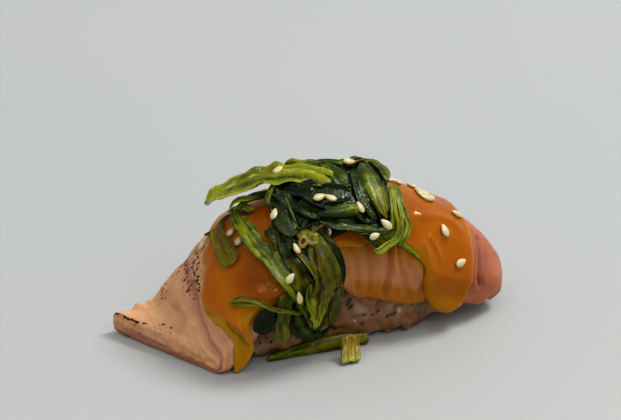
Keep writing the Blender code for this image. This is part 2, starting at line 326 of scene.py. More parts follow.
def skin(u, v):
    """Places on the slice's outside, and the way out of it there.

    v is -1 at the front edge and 1 at the back edge, and past them it goes on down the sides.
    """
    middle, across, up = section(u)
    crown = curve(CROWN, u)
    wide = np.linalg.norm(across, axis=-1)
    on_top = np.clip(v, -1, 1)
    down = (np.abs(v) - np.abs(on_top)) * SIDE_UNIT
    rise = crown * (1 - np.abs(on_top) ** CROWN_POWER) - down
    place = middle + across * on_top[..., None] / 2 + up * rise[..., None]
    slope = CROWN_POWER * crown * np.abs(on_top) ** (CROWN_POWER - 1) / (wide / 2)
    sideways = across / wide[..., None] * np.sign(v)[..., None]
    top_out = unit(up + sideways * slope[..., None])
    to_side = smooth_step((np.abs(v) - 1) / CORNER_BLEND / 2 + 0.5)[..., None]
    return place, unit(top_out * (1 - to_side) + sideways * to_side)


def box_shell(cuts):
    """The surface of a box cut into a grid: its places, as shares of each side, and its faces."""
    lattice = np.zeros(np.array(cuts) + 1, int)
    shell = np.ones(lattice.shape, bool)
    shell[1:-1, 1:-1, 1:-1] = False
    lattice[shell] = np.arange(shell.sum())
    sides = ((lattice[-1], 1), (lattice[0], -1), (lattice[:, 0], 1), (lattice[:, -1], -1),
             (lattice[:, :, -1], 1), (lattice[:, :, 0], -1))
    faces = [np.stack((side[:-1, :-1], side[1:, :-1], side[1:, 1:], side[:-1, 1:]), -1)
             .reshape(-1, 4)[:, ::turn] for side, turn in sides]
    return np.argwhere(shell) / cuts, np.concatenate(faces)


def rounded(places, size, radius):
    """Places on a box's surface moved in onto the same box with rounded edges."""
    inner = np.clip(places, radius, np.asarray(size) - radius)
    return inner + unit(places - inner) * radius


def point_normals(places, faces):
    """The way out of a mesh of four-sided faces at each of its places."""
    corners = places[faces]
    across = np.cross(corners[:, 2] - corners[:, 0], corners[:, 3] - corners[:, 1])
    total = np.zeros_like(places)
    for corner in range(4):
        np.add.at(total, faces[:, corner], across)
    return unit(total)


def lumps(places, size, seed=0.0):
    """Soft random numbers about 0, from -1 to 1, with patches of this size."""
    moved = np.asarray(places) / size + seed
    return np.array([noise.noise(Vector(place)) for place in moved])


def beside(chart, path):
    """How far each place on the slice's chart is from a path over it, in millimetres."""
    path = np.array(path) * (SLICE_LENGTH, MIDDLE_MARK)
    nearest = np.full(len(chart), 1e9)
    for start, end in zip(path, path[1:]):
        way = end - start
        share = np.clip(((chart - start) @ way) / (way @ way), 0, 1)
        nearest = np.minimum(nearest, np.linalg.norm(chart - start - share[:, None] * way, axis=1))
    return nearest


def spot(chart, u, v, size):
    """1 at a place on the slice's chart, falling off to 0 at about twice the size round it."""
    away = np.linalg.norm(chart - np.array((u * SLICE_LENGTH, v * MIDDLE_MARK)), axis=1)
    return np.exp(-((away / size) ** 2))


shares, faces = box_shell(SLICE_CUTS)
size = np.array((SLICE_LENGTH, SLICE_WIDTH, SLICE_THICK))
block = rounded(shares * size, size, SLICE_EDGE)
u, v = block[:, 0] / SLICE_LENGTH, block[:, 1] / (SLICE_WIDTH / 2) - 1
depth = SLICE_THICK - block[:, 2]
middle, across, up = section(u)
top = skin(u, v)[0]
thick = np.minimum(curve(THICKNESS, u), (top[:, 2] - BOARD_CLEARANCE) / np.maximum(up[:, 2], 0.2))
places = top - up * (thick * depth / SLICE_THICK)[:, None]
droop = smooth_step((u - 0.40) / 0.08) * smooth_step((0.72 - u) / 0.12) * smooth_step((-v - 0.5) / 0.4)
places[:, 2] -= SIDE_DROOP * droop * smooth_step(depth / SLICE_THICK)
out = point_normals(places, faces)

# The chart unrolls the top and the sides flat, in millimetres along and across.
chart = np.stack((block[:, 0], (block[:, 1] - MIDDLE_MARK) + np.sign(v) * depth), 1)
v_down = chart[:, 1] / MIDDLE_MARK
lean = np.interp(v_down, *np.array(FLAKE_LEAN).T) * SLICE_LENGTH
beside_lean = chart[:, 0] - lean
outer = smooth_step((SLICE_THICK - 0.9 - depth) / 0.8)
at_end = smooth_step((0.9 - block[:, 0]) / 0.7) * smooth_step((depth - 0.3) / 0.6)
ramp = smooth_step((24 - chart[:, 0]) / 6)

relief = 0.30 * lumps(places, 6.0 * MM) + 0.12 * lumps(places, 2.4 * MM, 7.1)
relief += 0.045 * lumps(places, 0.9 * MM, 3.3)
fibres = lumps(np.stack((beside_lean / 1.3, chart[:, 1] / 9, depth / 4), 1), 1.0, 11.0)
fine_fibres = lumps(np.stack((beside_lean / 0.6, chart[:, 1] / 6, depth / 4), 1), 1.0, 23.0)
relief += outer * ramp * (0.16 * fibres + 0.07 * fine_fibres)
mauve = np.zeros(len(places))
for groove in FLAKE_GROOVES:
    away = beside(chart, groove["path"]) / groove["wide"]
    relief -= outer * groove["deep"] * np.exp(-away**2)
    relief += outer * groove["deep"] * 0.35 * np.exp(-((away - 2.2) / 1.1) ** 2)
    mauve = np.maximum(mauve, np.exp(-((away / 1.5) ** 2)) * min(groove["deep"] * 1.2, 0.8))
# The fold in the raw bulge is painted dark red along its line and softly round it: painted shade in the
# fold.
beside_crease = beside(chart, BULGE_CREASE)
crease = np.maximum(0.9 * np.exp(-((beside_crease / 0.55) ** 2)),
                    0.35 * np.exp(-((beside_crease / 2.2) ** 2)))
# A bump of torn flesh on the back edge near the left end, a ragged left end, and its undercut foot
relief += 1.3 * spot(chart, 0.088, 0.98, 1.3) + 0.5 * spot(chart, 0.12, 1.0, 1.0)
relief += outer * 0.35 * smooth_step((3 - block[:, 0]) / 3) * lumps(places, 1.1 * MM, 5.0)
undercut = smooth_step((depth / SLICE_THICK - 0.45) / 0.25) * smooth_step((0.9 - v) / 0.4)
relief -= 0.25 * at_end * undercut
# The right end is a smooth raw bulge
bulge = smooth_step((chart[:, 0] - 54.5) / 4)
places = places + out * (relief * (1 - 0.45 * bulge) * MM)[:, None]
places[:, 2] = np.maximum(places[:, 2], BOARD_CLEARANCE)

seared = outer * (1 - bulge) * (1 - 0.45 * smooth_step((np.abs(v_down) - 0.95) / 0.15)
                                * (1 - ramp)) * (1 - 0.5 * at_end * undercut)
stripe = np.exp(-((beside(chart, ((0.25, 0.97), (0.225, 0.63), (0.193, 0.29), (0.165, 0.0)))
                   / 0.85) ** 4))
mauve = np.maximum(mauve, stripe)
beyond_lean = smooth_step(beside_lean / 1.0) * smooth_step((9 - beside_lean) / 4)
mauve = np.maximum(mauve, ramp * beyond_lean * smooth_step((0.05 - v_down) / 0.3)
                   * np.clip(0.25 + 1.1 * fine_fibres, 0, 0.55))
# The undercut foot of the left end is painted mauve and less seared: partly unseared raw flesh, partly
# painted shade under the end.
mauve = np.maximum(mauve, at_end * undercut * smooth_step((0.85 - v) / 0.2) * smooth_step((v + 0.3) / 0.5))

band_left = np.exp(-((beside(chart, ((0.252, 1.05), (0.222, 0.66), (0.205, 0.50), (0.167, 0.16),
                                     (0.15, 0.02))) / 0.9) ** 2))
band_right = np.exp(-((beside(chart, ((0.305, 0.62), (0.285, 0.64), (0.262, 0.62), (0.236, 0.45),
                                      (0.207, 0.20), (0.176, -0.02))) / 1.15) ** 2))
high = smooth_step((v_down + 0.1) / 0.8)
char = np.maximum(band_left * (0.45 + 0.3 * high), band_right * (0.55 + 0.35 * high))
char = np.maximum(char, 0.6 * np.exp(-((beside(chart, ((0.175, 0.95), (0.147, 0.66))) / 1.2) ** 2)))
end_edge = beside(chart, ((0.008, 1.15), (0.006, 0.9), (0.004, 0.66), (0.010, 0.52)))
char = np.maximum(char, 1.2 * np.exp(-((end_edge / 0.45) ** 2)))
char = np.maximum(char, 1.2 * spot(chart, 0.018, 0.40, 0.75))
for u_dot, v_dot, dot in ((0.02, 0.20, 0.6), (0.022, 0.08, 0.6), (0.048, 0.22, 0.7),
                          (0.048, 0.05, 0.7), (0.028, -0.05, 0.5), (0.06, 0.0, 0.5)):
    char = np.maximum(char, 0.85 * spot(chart, u_dot, v_dot, dot))
back_char = outer * smooth_step((v_down - 0.55) / 0.3) * smooth_step((1.3 - v_down) / 0.2)
char = np.maximum(char, back_char * 0.55 * smooth_step(lumps(places, 7.0 * MM, 9.0) * 2.2 + 0.3))
char *= outer * (1 - bulge) * (1 - 0.4 * at_end)

in_middle = smooth_step((chart[:, 0] - 28) / 4) * smooth_step((58 - chart[:, 0]) / 6)
glaze = in_middle * (0.36 + 0.64 * smooth_step((v_down + 1.18) / 0.3))
low_edge = smooth_step((chart[:, 0] - 31) / 4) * smooth_step((-1.14 - v_down) / 0.12)
glaze = np.maximum(glaze, in_middle * low_edge)

salmon_paint, tree, shader = paint("seared salmon", 0.42, Subsurface_Weight=0.22, Specular_IOR_Level=0.14,
                                   Subsurface_Radius=(1.0, 0.42, 0.25), Subsurface_Scale=0.0016,
                                   Specular_Tint=(1.0, 0.9, 0.75, 1.0))
on_chart = carried(tree, "chart", "Vector")
cloud = speckle(tree, 3.0 * MM, detail=3.0)
grain = speckle(tree, 0.55 * MM, detail=3.0)
fibre = speckle(tree, 1.0, where=on_chart, stretch=(1.1, 0.13, 0.3), detail=3.0)
tan = mixed(tree, level(tree, cloud, 0.3, 0.7), tone(195, 143, 101), tone(*TORCHED_TAN))
tan = mixed(tree, level(tree, grain, 0.45, 0.75, 0.0, 0.5), tan, tone(215, 171, 131))
pink = mixed(tree, level(tree, cloud, 0.3, 0.7), tone(*RAW_PINK), tone(172, 106, 78))
flesh = mixed(tree, carried(tree, "seared"), pink, tan)
flesh = mixed(tree, level(tree, fibre, 0.5, 0.8, 0.0, 0.45), flesh, tone(186, 128, 98))
flesh = mixed(tree, carried(tree, "mauve"), flesh, tone(*FLAKE_MAUVE))
flesh = mixed(tree, carried(tree, "crease"), flesh, tone(*CREASE_RED))
orange = sums(tree, "MULTIPLY", carried(tree, "glaze"), level(tree, cloud, 0.2, 0.7, 0.75, 1.0))
flesh = mixed(tree, orange, flesh, tone(160, 96, 2))
where = node(tree, "ShaderNodeTexCoord").outputs["Object"]
shaken = node(tree, "ShaderNodeTexNoise", {"Vector": where, "Scale": 1 / (0.9 * MM), "Detail": 2.0})
shaken = node(tree, "ShaderNodeVectorMath", {0: shaken.outputs["Color"], 3: 0.9 * MM},
              operation="SCALE")
shaken = node(tree, "ShaderNodeVectorMath", {0: where, 1: shaken.outputs[0]})
dots = node(tree, "ShaderNodeTexVoronoi", {"Vector": shaken.outputs[0], "Scale": 1 / CHAR_PITCH})
burn = sums(tree, "SUBTRACT", sums(tree, "MULTIPLY", carried(tree, "char"), 0.62),
            dots.outputs["Distance"])
flesh = mixed(tree, level(tree, burn, -0.16, 0.06, 0.0, 0.75), flesh, tone(132, 78, 38))
flesh = mixed(tree, level(tree, burn, 0.0, 0.10), flesh, tone(*BURNT))
tree.links.new(flesh, shader.inputs["Base Color"])
tree.links.new(level(tree, grain, 0.2, 0.8, 0.30, 0.50), shader.inputs["Roughness"])
height = sums(tree, "ADD", sums(tree, "MULTIPLY", fibre, 0.6), sums(tree, "MULTIPLY", grain, 0.4))
embossed(tree, shader, height, 0.22 * MM, 0.8)

fibre_chart = np.stack((beside_lean, chart[:, 1], depth), 1)
salmon = new_piece("salmon_slice", places, faces, salmon_paint, {
    "chart": fibre_chart, "seared": seared, "mauve": mauve, "char": char, "glaze": glaze,
    "crease": crease})
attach(salmon, "root")
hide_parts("salmon")

# ---------------------------------------------------------------------------------------------
# Rice block
# Cooked short-grain rice, pressed by hand into a block. Single grains are laid on a lumpy core,
# and the hand presses all of it into one soft lump. Its front is painted darker and browner, partly
# a sauce stain and partly painted shade under the slice.
# ---------------------------------------------------------------------------------------------

GRAIN_SIZE = (5.3, 2.5, 2.1)
GRAIN_BEND = 0.22
GRAIN_SINK = 0.45 * MM
GRAIN_PITCH = 1.6 * MM
GRAIN_SEED = 4
# The block's front, which draws in below the right part of the slice
RICE_FRONT = -11.0
RICE_DRAWN_IN = 6.5
PRESSED_CELL = 0.3 * MM
PRESSED_SOFTLY = 5


def link(tree, source, target):
    tree.links.new(source, target)


def nodes_for(name, **inputs):
    """A geometry tree with named inputs, each given its socket type: its start and end nodes."""
    tree = bpy.data.node_groups.new(name, "GeometryNodeTree")
    tree.interface.new_socket("Geometry", in_out="INPUT", socket_type="NodeSocketGeometry")
    tree.interface.new_socket("Geometry", in_out="OUTPUT", socket_type="NodeSocketGeometry")
    for label, kind in inputs.items():
        tree.interface.new_socket(label.replace("_", " "), in_out="INPUT", socket_type=kind)
    start, end = tree.nodes.new("NodeGroupInput"), tree.nodes.new("NodeGroupOutput")
    return tree, start.outputs, end.inputs[0]


def baked(name, base, tree, **values):
    """What a geometry tree makes of a base mesh, with its inputs set, as a plain mesh object."""
    modifier = base.modifiers.new(name, "NODES")
    modifier.node_group = tree
    for label, value in values.items():
        socket = tree.interface.items_tree[label.replace("_", " ")]
        modifier[socket.identifier] = value
    deps = bpy.context.evaluated_depsgraph_get()
    mesh = bpy.data.meshes.new_from_object(base.evaluated_get(deps), depsgraph=deps)
    bpy.data.objects.remove(base)
    mesh.name = name
    piece = bpy.data.objects.new(name, mesh)
    scene.collection.objects.link(piece)
    return piece


def copied(node_name, name):
    """A copy of a CAD solid with its loose triangles joined, as places and a mesh to work on."""
    bm = bmesh.new()
    bm.from_mesh(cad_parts[node_name].data)
    bmesh.ops.remove_doubles(bm, verts=bm.verts, dist=0.01 * MM)
    return bm


rice_paint, tree, shader = paint("boiled rice", 0.28, Subsurface_Weight=0.45,
                                 Subsurface_Radius=(1.0, 0.85, 0.6), Subsurface_Scale=0.0016)
cloud = speckle(tree, 5.0 * MM)
grain = speckle(tree, 0.5 * MM, detail=2.0)
patches = level(tree, speckle(tree, 2.4 * MM), 0.35, 0.65)
white = mixed(tree, patches, tone(190, 168, 134), tone(206, 186, 154))
white = mixed(tree, level(tree, cloud, 0.4, 0.7, 0.0, 0.4), white, tone(172, 138, 98))
parts = node(tree, "ShaderNodeSeparateXYZ", {0: node(tree, "ShaderNodeTexCoord").outputs["Object"]})
# Darker and browner towards the front, under the slice's overhang: partly a sauce stain, partly painted
# shade.
stain = sums(tree, "MULTIPLY", level(tree, parts.outputs[1], -0.004, -0.009),
             level(tree, cloud, 0.2, 0.6, 0.6, 1.0))
white = mixed(tree, stain, white, tone(124, 80, 36))
tree.links.new(white, shader.inputs["Base Color"])
tree.links.new(level(tree, grain, 0.3, 0.7, 0.32, 0.5), shader.inputs["Roughness"])
embossed(tree, shader, grain, 0.08 * MM, 0.6)

bm = copied("rice", "rice_core")
bm.normal_update()
for vertex in bm.verts:
    vertex.co -= vertex.normal * GRAIN_SINK
    vertex.co.z = max(vertex.co.z, 0.1 * MM)
    drawn_in = RICE_FRONT + RICE_DRAWN_IN * float(smooth_step((vertex.co.x / MM - 11) / 14))
    vertex.co.y = max(vertex.co.y, drawn_in * MM)
core_mesh = bpy.data.meshes.new("rice_core")
bm.to_mesh(core_mesh)
bm.free()
rice_core = bpy.data.objects.new("rice_core", core_mesh)
scene.collection.objects.link(rice_core)
core_mesh.materials.append(rice_paint)
core_mesh.shade_smooth()
core_mesh.attributes.new("grain_tone", "FLOAT", "POINT")

bm = bmesh.new()
bmesh.ops.create_uvsphere(bm, u_segments=10, v_segments=6, radius=1)
for vertex in bm.verts:
    along, side, high = vertex.co.z, vertex.co.x, vertex.co.y
    fullness = 1 - 0.22 * max(along, 0) ** 2
    vertex.co = Vector((along * GRAIN_SIZE[0], side * fullness * GRAIN_SIZE[1],
                        (high * fullness - GRAIN_BEND * along**2) * GRAIN_SIZE[2])) * MM / 2
bmesh.ops.recalc_face_normals(bm, faces=bm.faces)
grain_mesh = bpy.data.meshes.new("rice_grain")
bm.to_mesh(grain_mesh)
bm.free()
grain_mesh.shade_smooth()
one_grain = bpy.data.objects.new("rice_grain", grain_mesh)

# Grains thrown on the core as close as they fit, each lying along it, turned and tilted at random
tree, given, made = nodes_for("packed grains", Grain="NodeSocketObject", Pitch="NodeSocketFloat",
                              Seed="NodeSocketInt", Paint="NodeSocketMaterial")
thrown = node(tree, "GeometryNodeDistributePointsOnFaces", {
    "Mesh": given["Geometry"], "Distance Min": given["Pitch"], "Density Max": 900000.0,
    "Seed": given["Seed"]}, distribute_method="POISSON")
any_way = node(tree, "FunctionNodeRandomValue", {"Min": (-1, -1, -1), "Max": (1, 1, 1),
                                                 "Seed": given["Seed"]}, data_type="FLOAT_VECTOR")
along = node(tree, "ShaderNodeVectorMath", {0: any_way.outputs[0], 1: thrown.outputs["Normal"]},
             operation="CROSS_PRODUCT")
tilt = node(tree, "FunctionNodeRandomValue", {2: -0.22, 3: 0.22, "Seed": 8}, data_type="FLOAT")
lift = node(tree, "ShaderNodeVectorMath", {0: thrown.outputs["Normal"], 3: tilt.outputs[1]},
            operation="SCALE")
tilted = node(tree, "ShaderNodeVectorMath", {0: along.outputs[0], 1: lift.outputs[0]})
turned = node(tree, "FunctionNodeAxesToRotation", {"Primary Axis": tilted.outputs[0],
                                                   "Secondary Axis": thrown.outputs["Normal"]},
              primary_axis="X", secondary_axis="Z")
size = node(tree, "FunctionNodeRandomValue", {2: 0.86, 3: 1.08, "Seed": 3}, data_type="FLOAT")
shape = node(tree, "GeometryNodeObjectInfo", {"Object": given["Grain"]})
laid = node(tree, "GeometryNodeInstanceOnPoints", {
    "Points": thrown.outputs["Points"], "Instance": shape.outputs["Geometry"],
    "Rotation": turned.outputs[0], "Scale": size.outputs[1]})
real = node(tree, "GeometryNodeRealizeInstances", {"Geometry": laid.outputs[0]})
where = node(tree, "GeometryNodeInputPosition")
parts = node(tree, "ShaderNodeSeparateXYZ", {0: where.outputs[0]})
pressed = node(tree, "ShaderNodeMath", {0: parts.outputs[2], 1: 0.1 * MM}, operation="MAXIMUM")
flat = node(tree, "ShaderNodeCombineXYZ", {0: parts.outputs[0], 1: parts.outputs[1],
                                           2: pressed.outputs[0]})
footed = node(tree, "GeometryNodeSetPosition", {"Geometry": real.outputs[0],
                                                "Position": flat.outputs[0]})
painted = node(tree, "GeometryNodeSetMaterial", {"Geometry": footed.outputs[0],
                                                 "Material": given["Paint"]})
link(tree, painted.outputs[0], made)

bed = rice_core.copy()
bed.data = core_mesh.copy()
scene.collection.objects.link(bed)
grains = baked("rice_grains", bed, tree, Grain=one_grain, Pitch=GRAIN_PITCH, Seed=GRAIN_SEED,
               Paint=rice_paint)

# The hand pressed core and grains into one soft lump, in which the grains only just show
bm = bmesh.new()
for part in (rice_core, grains):
    bm.from_mesh(part.data)
    bpy.data.objects.remove(part)
pressed = bpy.data.meshes.new("rice_block")
bm.to_mesh(pressed)
bm.free()
lump = bpy.data.objects.new("rice_block", pressed)
scene.collection.objects.link(lump)
merged = lump.modifiers.new("merged", "REMESH")
merged.mode, merged.voxel_size = "VOXEL", PRESSED_CELL
softened = lump.modifiers.new("softened", "SMOOTH")
softened.factor, softened.iterations = 0.5, PRESSED_SOFTLY
deps = bpy.context.evaluated_depsgraph_get()
pressed = bpy.data.meshes.new_from_object(lump.evaluated_get(deps), depsgraph=deps)
bpy.data.objects.remove(lump)
pressed.name = "rice_block"
pressed.materials.clear()
pressed.materials.append(rice_paint)
pressed.shade_smooth()
rice = bpy.data.objects.new("rice_block", pressed)
scene.collection.objects.link(rice)
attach(rice, "root")
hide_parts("rice")

# ---------------------------------------------------------------------------------------------
# Sauce coat
# A thick glossy orange mayonnaise sauce, spooned over the slice. It runs down the sides in
# tongues with full rounded rims, and an oily yellow film creeps ahead of its left rim.
# ---------------------------------------------------------------------------------------------

SAUCE_FRONT = (
    (0.068, -1.42), (0.112, -1.40), (0.145, -1.10), (0.195, -1.09), (0.26, -1.26), (0.35, -1.16),
    (0.43, -0.90), (0.50, -0.84), (0.575, -0.88), (0.622, -0.98), (0.643, -1.26), (0.69, -1.50),
    (0.74, -1.56), (0.777, -1.42),
)
SAUCE_LEFT = ((0.068, -1.42), (0.094, -0.86), (0.150, -0.22), (0.236, 0.18), (0.34, 0.86))
SAUCE_RIGHT = ((0.777, -1.42), (0.764, -0.95), (0.752, -0.4), (0.757, 0.25), (0.73, 0.9))
SAUCE_BACK = (
    (0.34, 0.86), (0.385, 1.10), (0.43, 1.22), (0.48, 1.04), (0.54, 0.93), (0.60, 1.02),
    (0.65, 1.24), (0.69, 1.16), (0.73, 0.9),
)
SAUCE_GAP = 0.35
SAUCE_THICK = 1.25
SAUCE_ROUND = 1.3
FILM_THICK = 0.3
FILM_WIDE = 1.7
SAUCE_CUTS = (230, 130)
# Painted shade on the coat beside the seaweed heap: the place, how far that reaches, and how strong
SAUCE_DEPTHS = (
    ((0.248, -0.80), (0.050, 0.34), 0.85), ((0.25, -1.08), (0.06, 0.16), 0.5),
    ((0.60, -0.45), (0.03, 0.30), 0.3),
)
SAUCE_RIPPLES = (
    {"path": ((0.632, -0.71), (0.642, -0.78), (0.652, -0.87)), "high": 0.30, "wide": 0.45},
    {"path": ((0.613, -0.80), (0.623, -0.88)), "high": 0.25, "wide": 0.4},
    {"path": ((0.622, -0.47), (0.66, -0.41), (0.70, -0.42), (0.712, -0.50)), "high": 0.35,
     "wide": 0.8},
    {"path": ((0.668, -0.66), (0.675, -0.62)), "high": 0.35, "wide": 0.6},
    {"path": ((0.236, -0.05), (0.222, -0.14)), "high": 0.3, "wide": 0.8},
    {"path": ((0.27, 0.20), (0.30, 0.24)), "high": 0.3, "wide": 0.7},
)


def eased(cuts):
    """Numbers from 0 to 1, closer together towards both ends."""
    t = np.linspace(0, 1, cuts + 1)
    return 0.55 * t + 0.45 * (1 - np.cos(np.pi * t)) / 2


along, across = np.meshgrid(eased(SAUCE_CUTS[0]), eased(SAUCE_CUTS[1]), indexing="ij")
along, across = along.ravel(), across.ravel()
front, back = curve(SAUCE_FRONT, along), curve(SAUCE_BACK, along)
left, right = curve(SAUCE_LEFT, across), curve(SAUCE_RIGHT, across)
a, b = along[:, None], across[:, None]
corners = [np.array(place) for place in (SAUCE_FRONT[0], SAUCE_FRONT[-1], SAUCE_BACK[0], SAUCE_BACK[-1])]
spread = (front * (1 - b) + back * b + left * (1 - a) + right * a
          - (corners[0] * (1 - a) + corners[1] * a) * (1 - b) - (corners[2] * (1 - a) + corners[3] * a) * b)
chart = spread * (SLICE_LENGTH, MIDDLE_MARK)
rims = [curve(rim, np.linspace(0, 1, 60)) for rim in (SAUCE_FRONT, SAUCE_RIGHT, SAUCE_BACK, SAUCE_LEFT)]
inset = np.min([beside(chart, rim) for rim in rims], axis=0)
near_left = smooth_step((30 - chart[:, 0]) / 4) * smooth_step((-4 - chart[:, 1]) / 4)
rim_place, rim_out = skin(spread[:, 0], spread[:, 1])
wander = smooth_step((3 - inset) / 3) * (1 - 0.3 * near_left)
spread = spread + np.stack((0.010 * lumps(rim_place, 2.6 * MM, 2.0),
                            0.055 * lumps(rim_place, 2.6 * MM, 6.0)), 1) * wander[:, None]
rim_place, rim_out = skin(spread[:, 0], spread[:, 1])


def rounded_rim(away):
    """How high a full rim has risen, from 0 to 1, at this share of its round."""
    return np.sqrt(np.maximum(1 - (1 - np.clip(away, 0, 1)) ** 2, 0))


film = near_left * smooth_step((-0.1 - spread[:, 1]) / 0.3)
full = SAUCE_THICK * (1 + 0.2 * lumps(rim_place, 7 * MM, 4.0)) + 0.05 * lumps(rim_place, 2.5 * MM, 1.0)
low_rim = smooth_step((-0.9 - spread[:, 1]) / 0.3) * np.exp(-(((inset - 1.6) / 1.4) ** 2))
full += 0.45 * low_rim
fading = smooth_step((spread[:, 0] - 0.39) / 0.04) * smooth_step((0.61 - spread[:, 0]) / 0.05)
full *= 1 - 0.75 * fading * smooth_step((-0.5 - spread[:, 1]) / 0.3)
coat = full * rounded_rim((inset - FILM_WIDE * film) / SAUCE_ROUND)
coat = np.maximum(coat, FILM_THICK * film * rounded_rim(inset / 0.4))
for ripple in SAUCE_RIPPLES:
    coat += ripple["high"] * np.exp(-((beside(chart, ripple["path"]) / ripple["wide"]) ** 2))
thin = np.clip(np.exp(-((inset / 1.1) ** 2)) * 0.7 + film * smooth_step((2.4 - inset) / 0.8), 0, 1)
thin = np.maximum(thin, 0.7 * smooth_step((-1.18 - spread[:, 1]) / 0.2))
# deep: painted shade on the coat beside the seaweed heap
deep = np.max([share * np.exp(-np.sum(((spread - place) / reach) ** 2, axis=1))
               for place, reach, share in SAUCE_DEPTHS], axis=0)
outside = rim_place + rim_out * ((SAUCE_GAP + coat) * MM)[:, None]
inside = rim_place + rim_out * (SAUCE_GAP * 0.3 * MM)
outside[:, 2] = np.maximum(outside[:, 2], 0.3 * MM)
inside[:, 2] = np.maximum(inside[:, 2], 0.15 * MM)
count = len(outside)
grid = np.arange(count).reshape(SAUCE_CUTS[0] + 1, SAUCE_CUTS[1] + 1)
upper = np.stack((grid[:-1, :-1], grid[1:, :-1], grid[1:, 1:], grid[:-1, 1:]), -1).reshape(-1, 4)
loop = np.concatenate((grid[:, 0], grid[-1, 1:], grid[-2::-1, -1], grid[0, -2:0:-1]))
following = np.roll(loop, -1)
wall = np.stack((loop + count, following + count, following, loop), 1)
faces = np.concatenate((upper, upper[:, ::-1] + count, wall))

sauce_paint, tree, shader = paint("orange sauce", 0.16, Subsurface_Weight=0.3, Specular_IOR_Level=0.35,
                                  Subsurface_Radius=(1.0, 0.35, 0.05), Subsurface_Scale=0.0018,
                                  Specular_Tint=(1.0, 0.75, 0.3, 1.0))
cloud = speckle(tree, 7.0 * MM, detail=1.0)
grain = speckle(tree, 0.9 * MM, detail=2.0)
orange = mixed(tree, level(tree, cloud, 0.35, 0.68), tone(184, 102, 0), tone(164, 84, 0))
orange = mixed(tree, level(tree, grain, 0.60, 0.8, 0.0, 0.25), orange, tone(196, 124, 20))
parts = node(tree, "ShaderNodeSeparateXYZ", {0: node(tree, "ShaderNodeTexCoord").outputs["Object"]})
# The coat is painted darker towards the right: painted shade.
orange = mixed(tree, level(tree, parts.outputs[0], 0.002, 0.014, 0.0, 0.6), orange, tone(146, 78, 0))
# Painted shade beside the seaweed heap
orange = mixed(tree, carried(tree, "deep"), orange, tone(122, 54, 0))
orange = mixed(tree, carried(tree, "thin"), orange, tone(176, 120, 8))
tree.links.new(orange, shader.inputs["Base Color"])
tree.links.new(level(tree, grain, 0.3, 0.8, 0.13, 0.3), shader.inputs["Roughness"])
embossed(tree, shader, cloud, 0.3 * MM, 0.5)
sauce = new_piece("sauce_coat", np.concatenate((outside, inside)), faces, sauce_paint,
                  {"thin": np.tile(thin, 2), "deep": np.tile(deep, 2)})
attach(sauce, "root")
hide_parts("sauce")

# ---------------------------------------------------------------------------------------------
# Seaweed salad
# Wet strips of wakame, cut stems, leaves and thin threads, heaped on the sauce and hanging down
# the front. A dark packed heart fills the heap, and every strand is laid on it one by one.
# ---------------------------------------------------------------------------------------------

HEAP_MIDDLE = (0.40, -0.30)
HEART_OUTLINE = (
    (0.560, -0.25), (0.553, 0.05), (0.535, 0.25), (0.500, 0.42), (0.450, 0.45), (0.405, 0.28),
    (0.385, 0.08), (0.368, -0.13), (0.350, -0.32), (0.336, -0.46), (0.325, -0.63), (0.312, -0.86),
    (0.290, -1.05), (0.268, -1.30), (0.255, -1.60), (0.262, -1.78), (0.300, -1.85), (0.340, -1.70),
    (0.372, -1.50), (0.388, -1.25), (0.392, -1.05), (0.410, -0.85), (0.460, -0.76), (0.520, -0.78),
    (0.552, -0.60),
)
HEART_SHARE = 0.92
HEART_FLOOR = 1.0
HEART_RISE = 1.6
HEART_HANG = 1.0
HEART_RINGS = 26
HEART_SPOKES = 120
PILE_CELL = 0.5
PILE_CEILING = 4.1
STRAND_STEP = 0.55
STRAND_SIDES = 16
FILLER_SEED = 11
FILLER_COUNT = 30
WISP_COUNT = 16
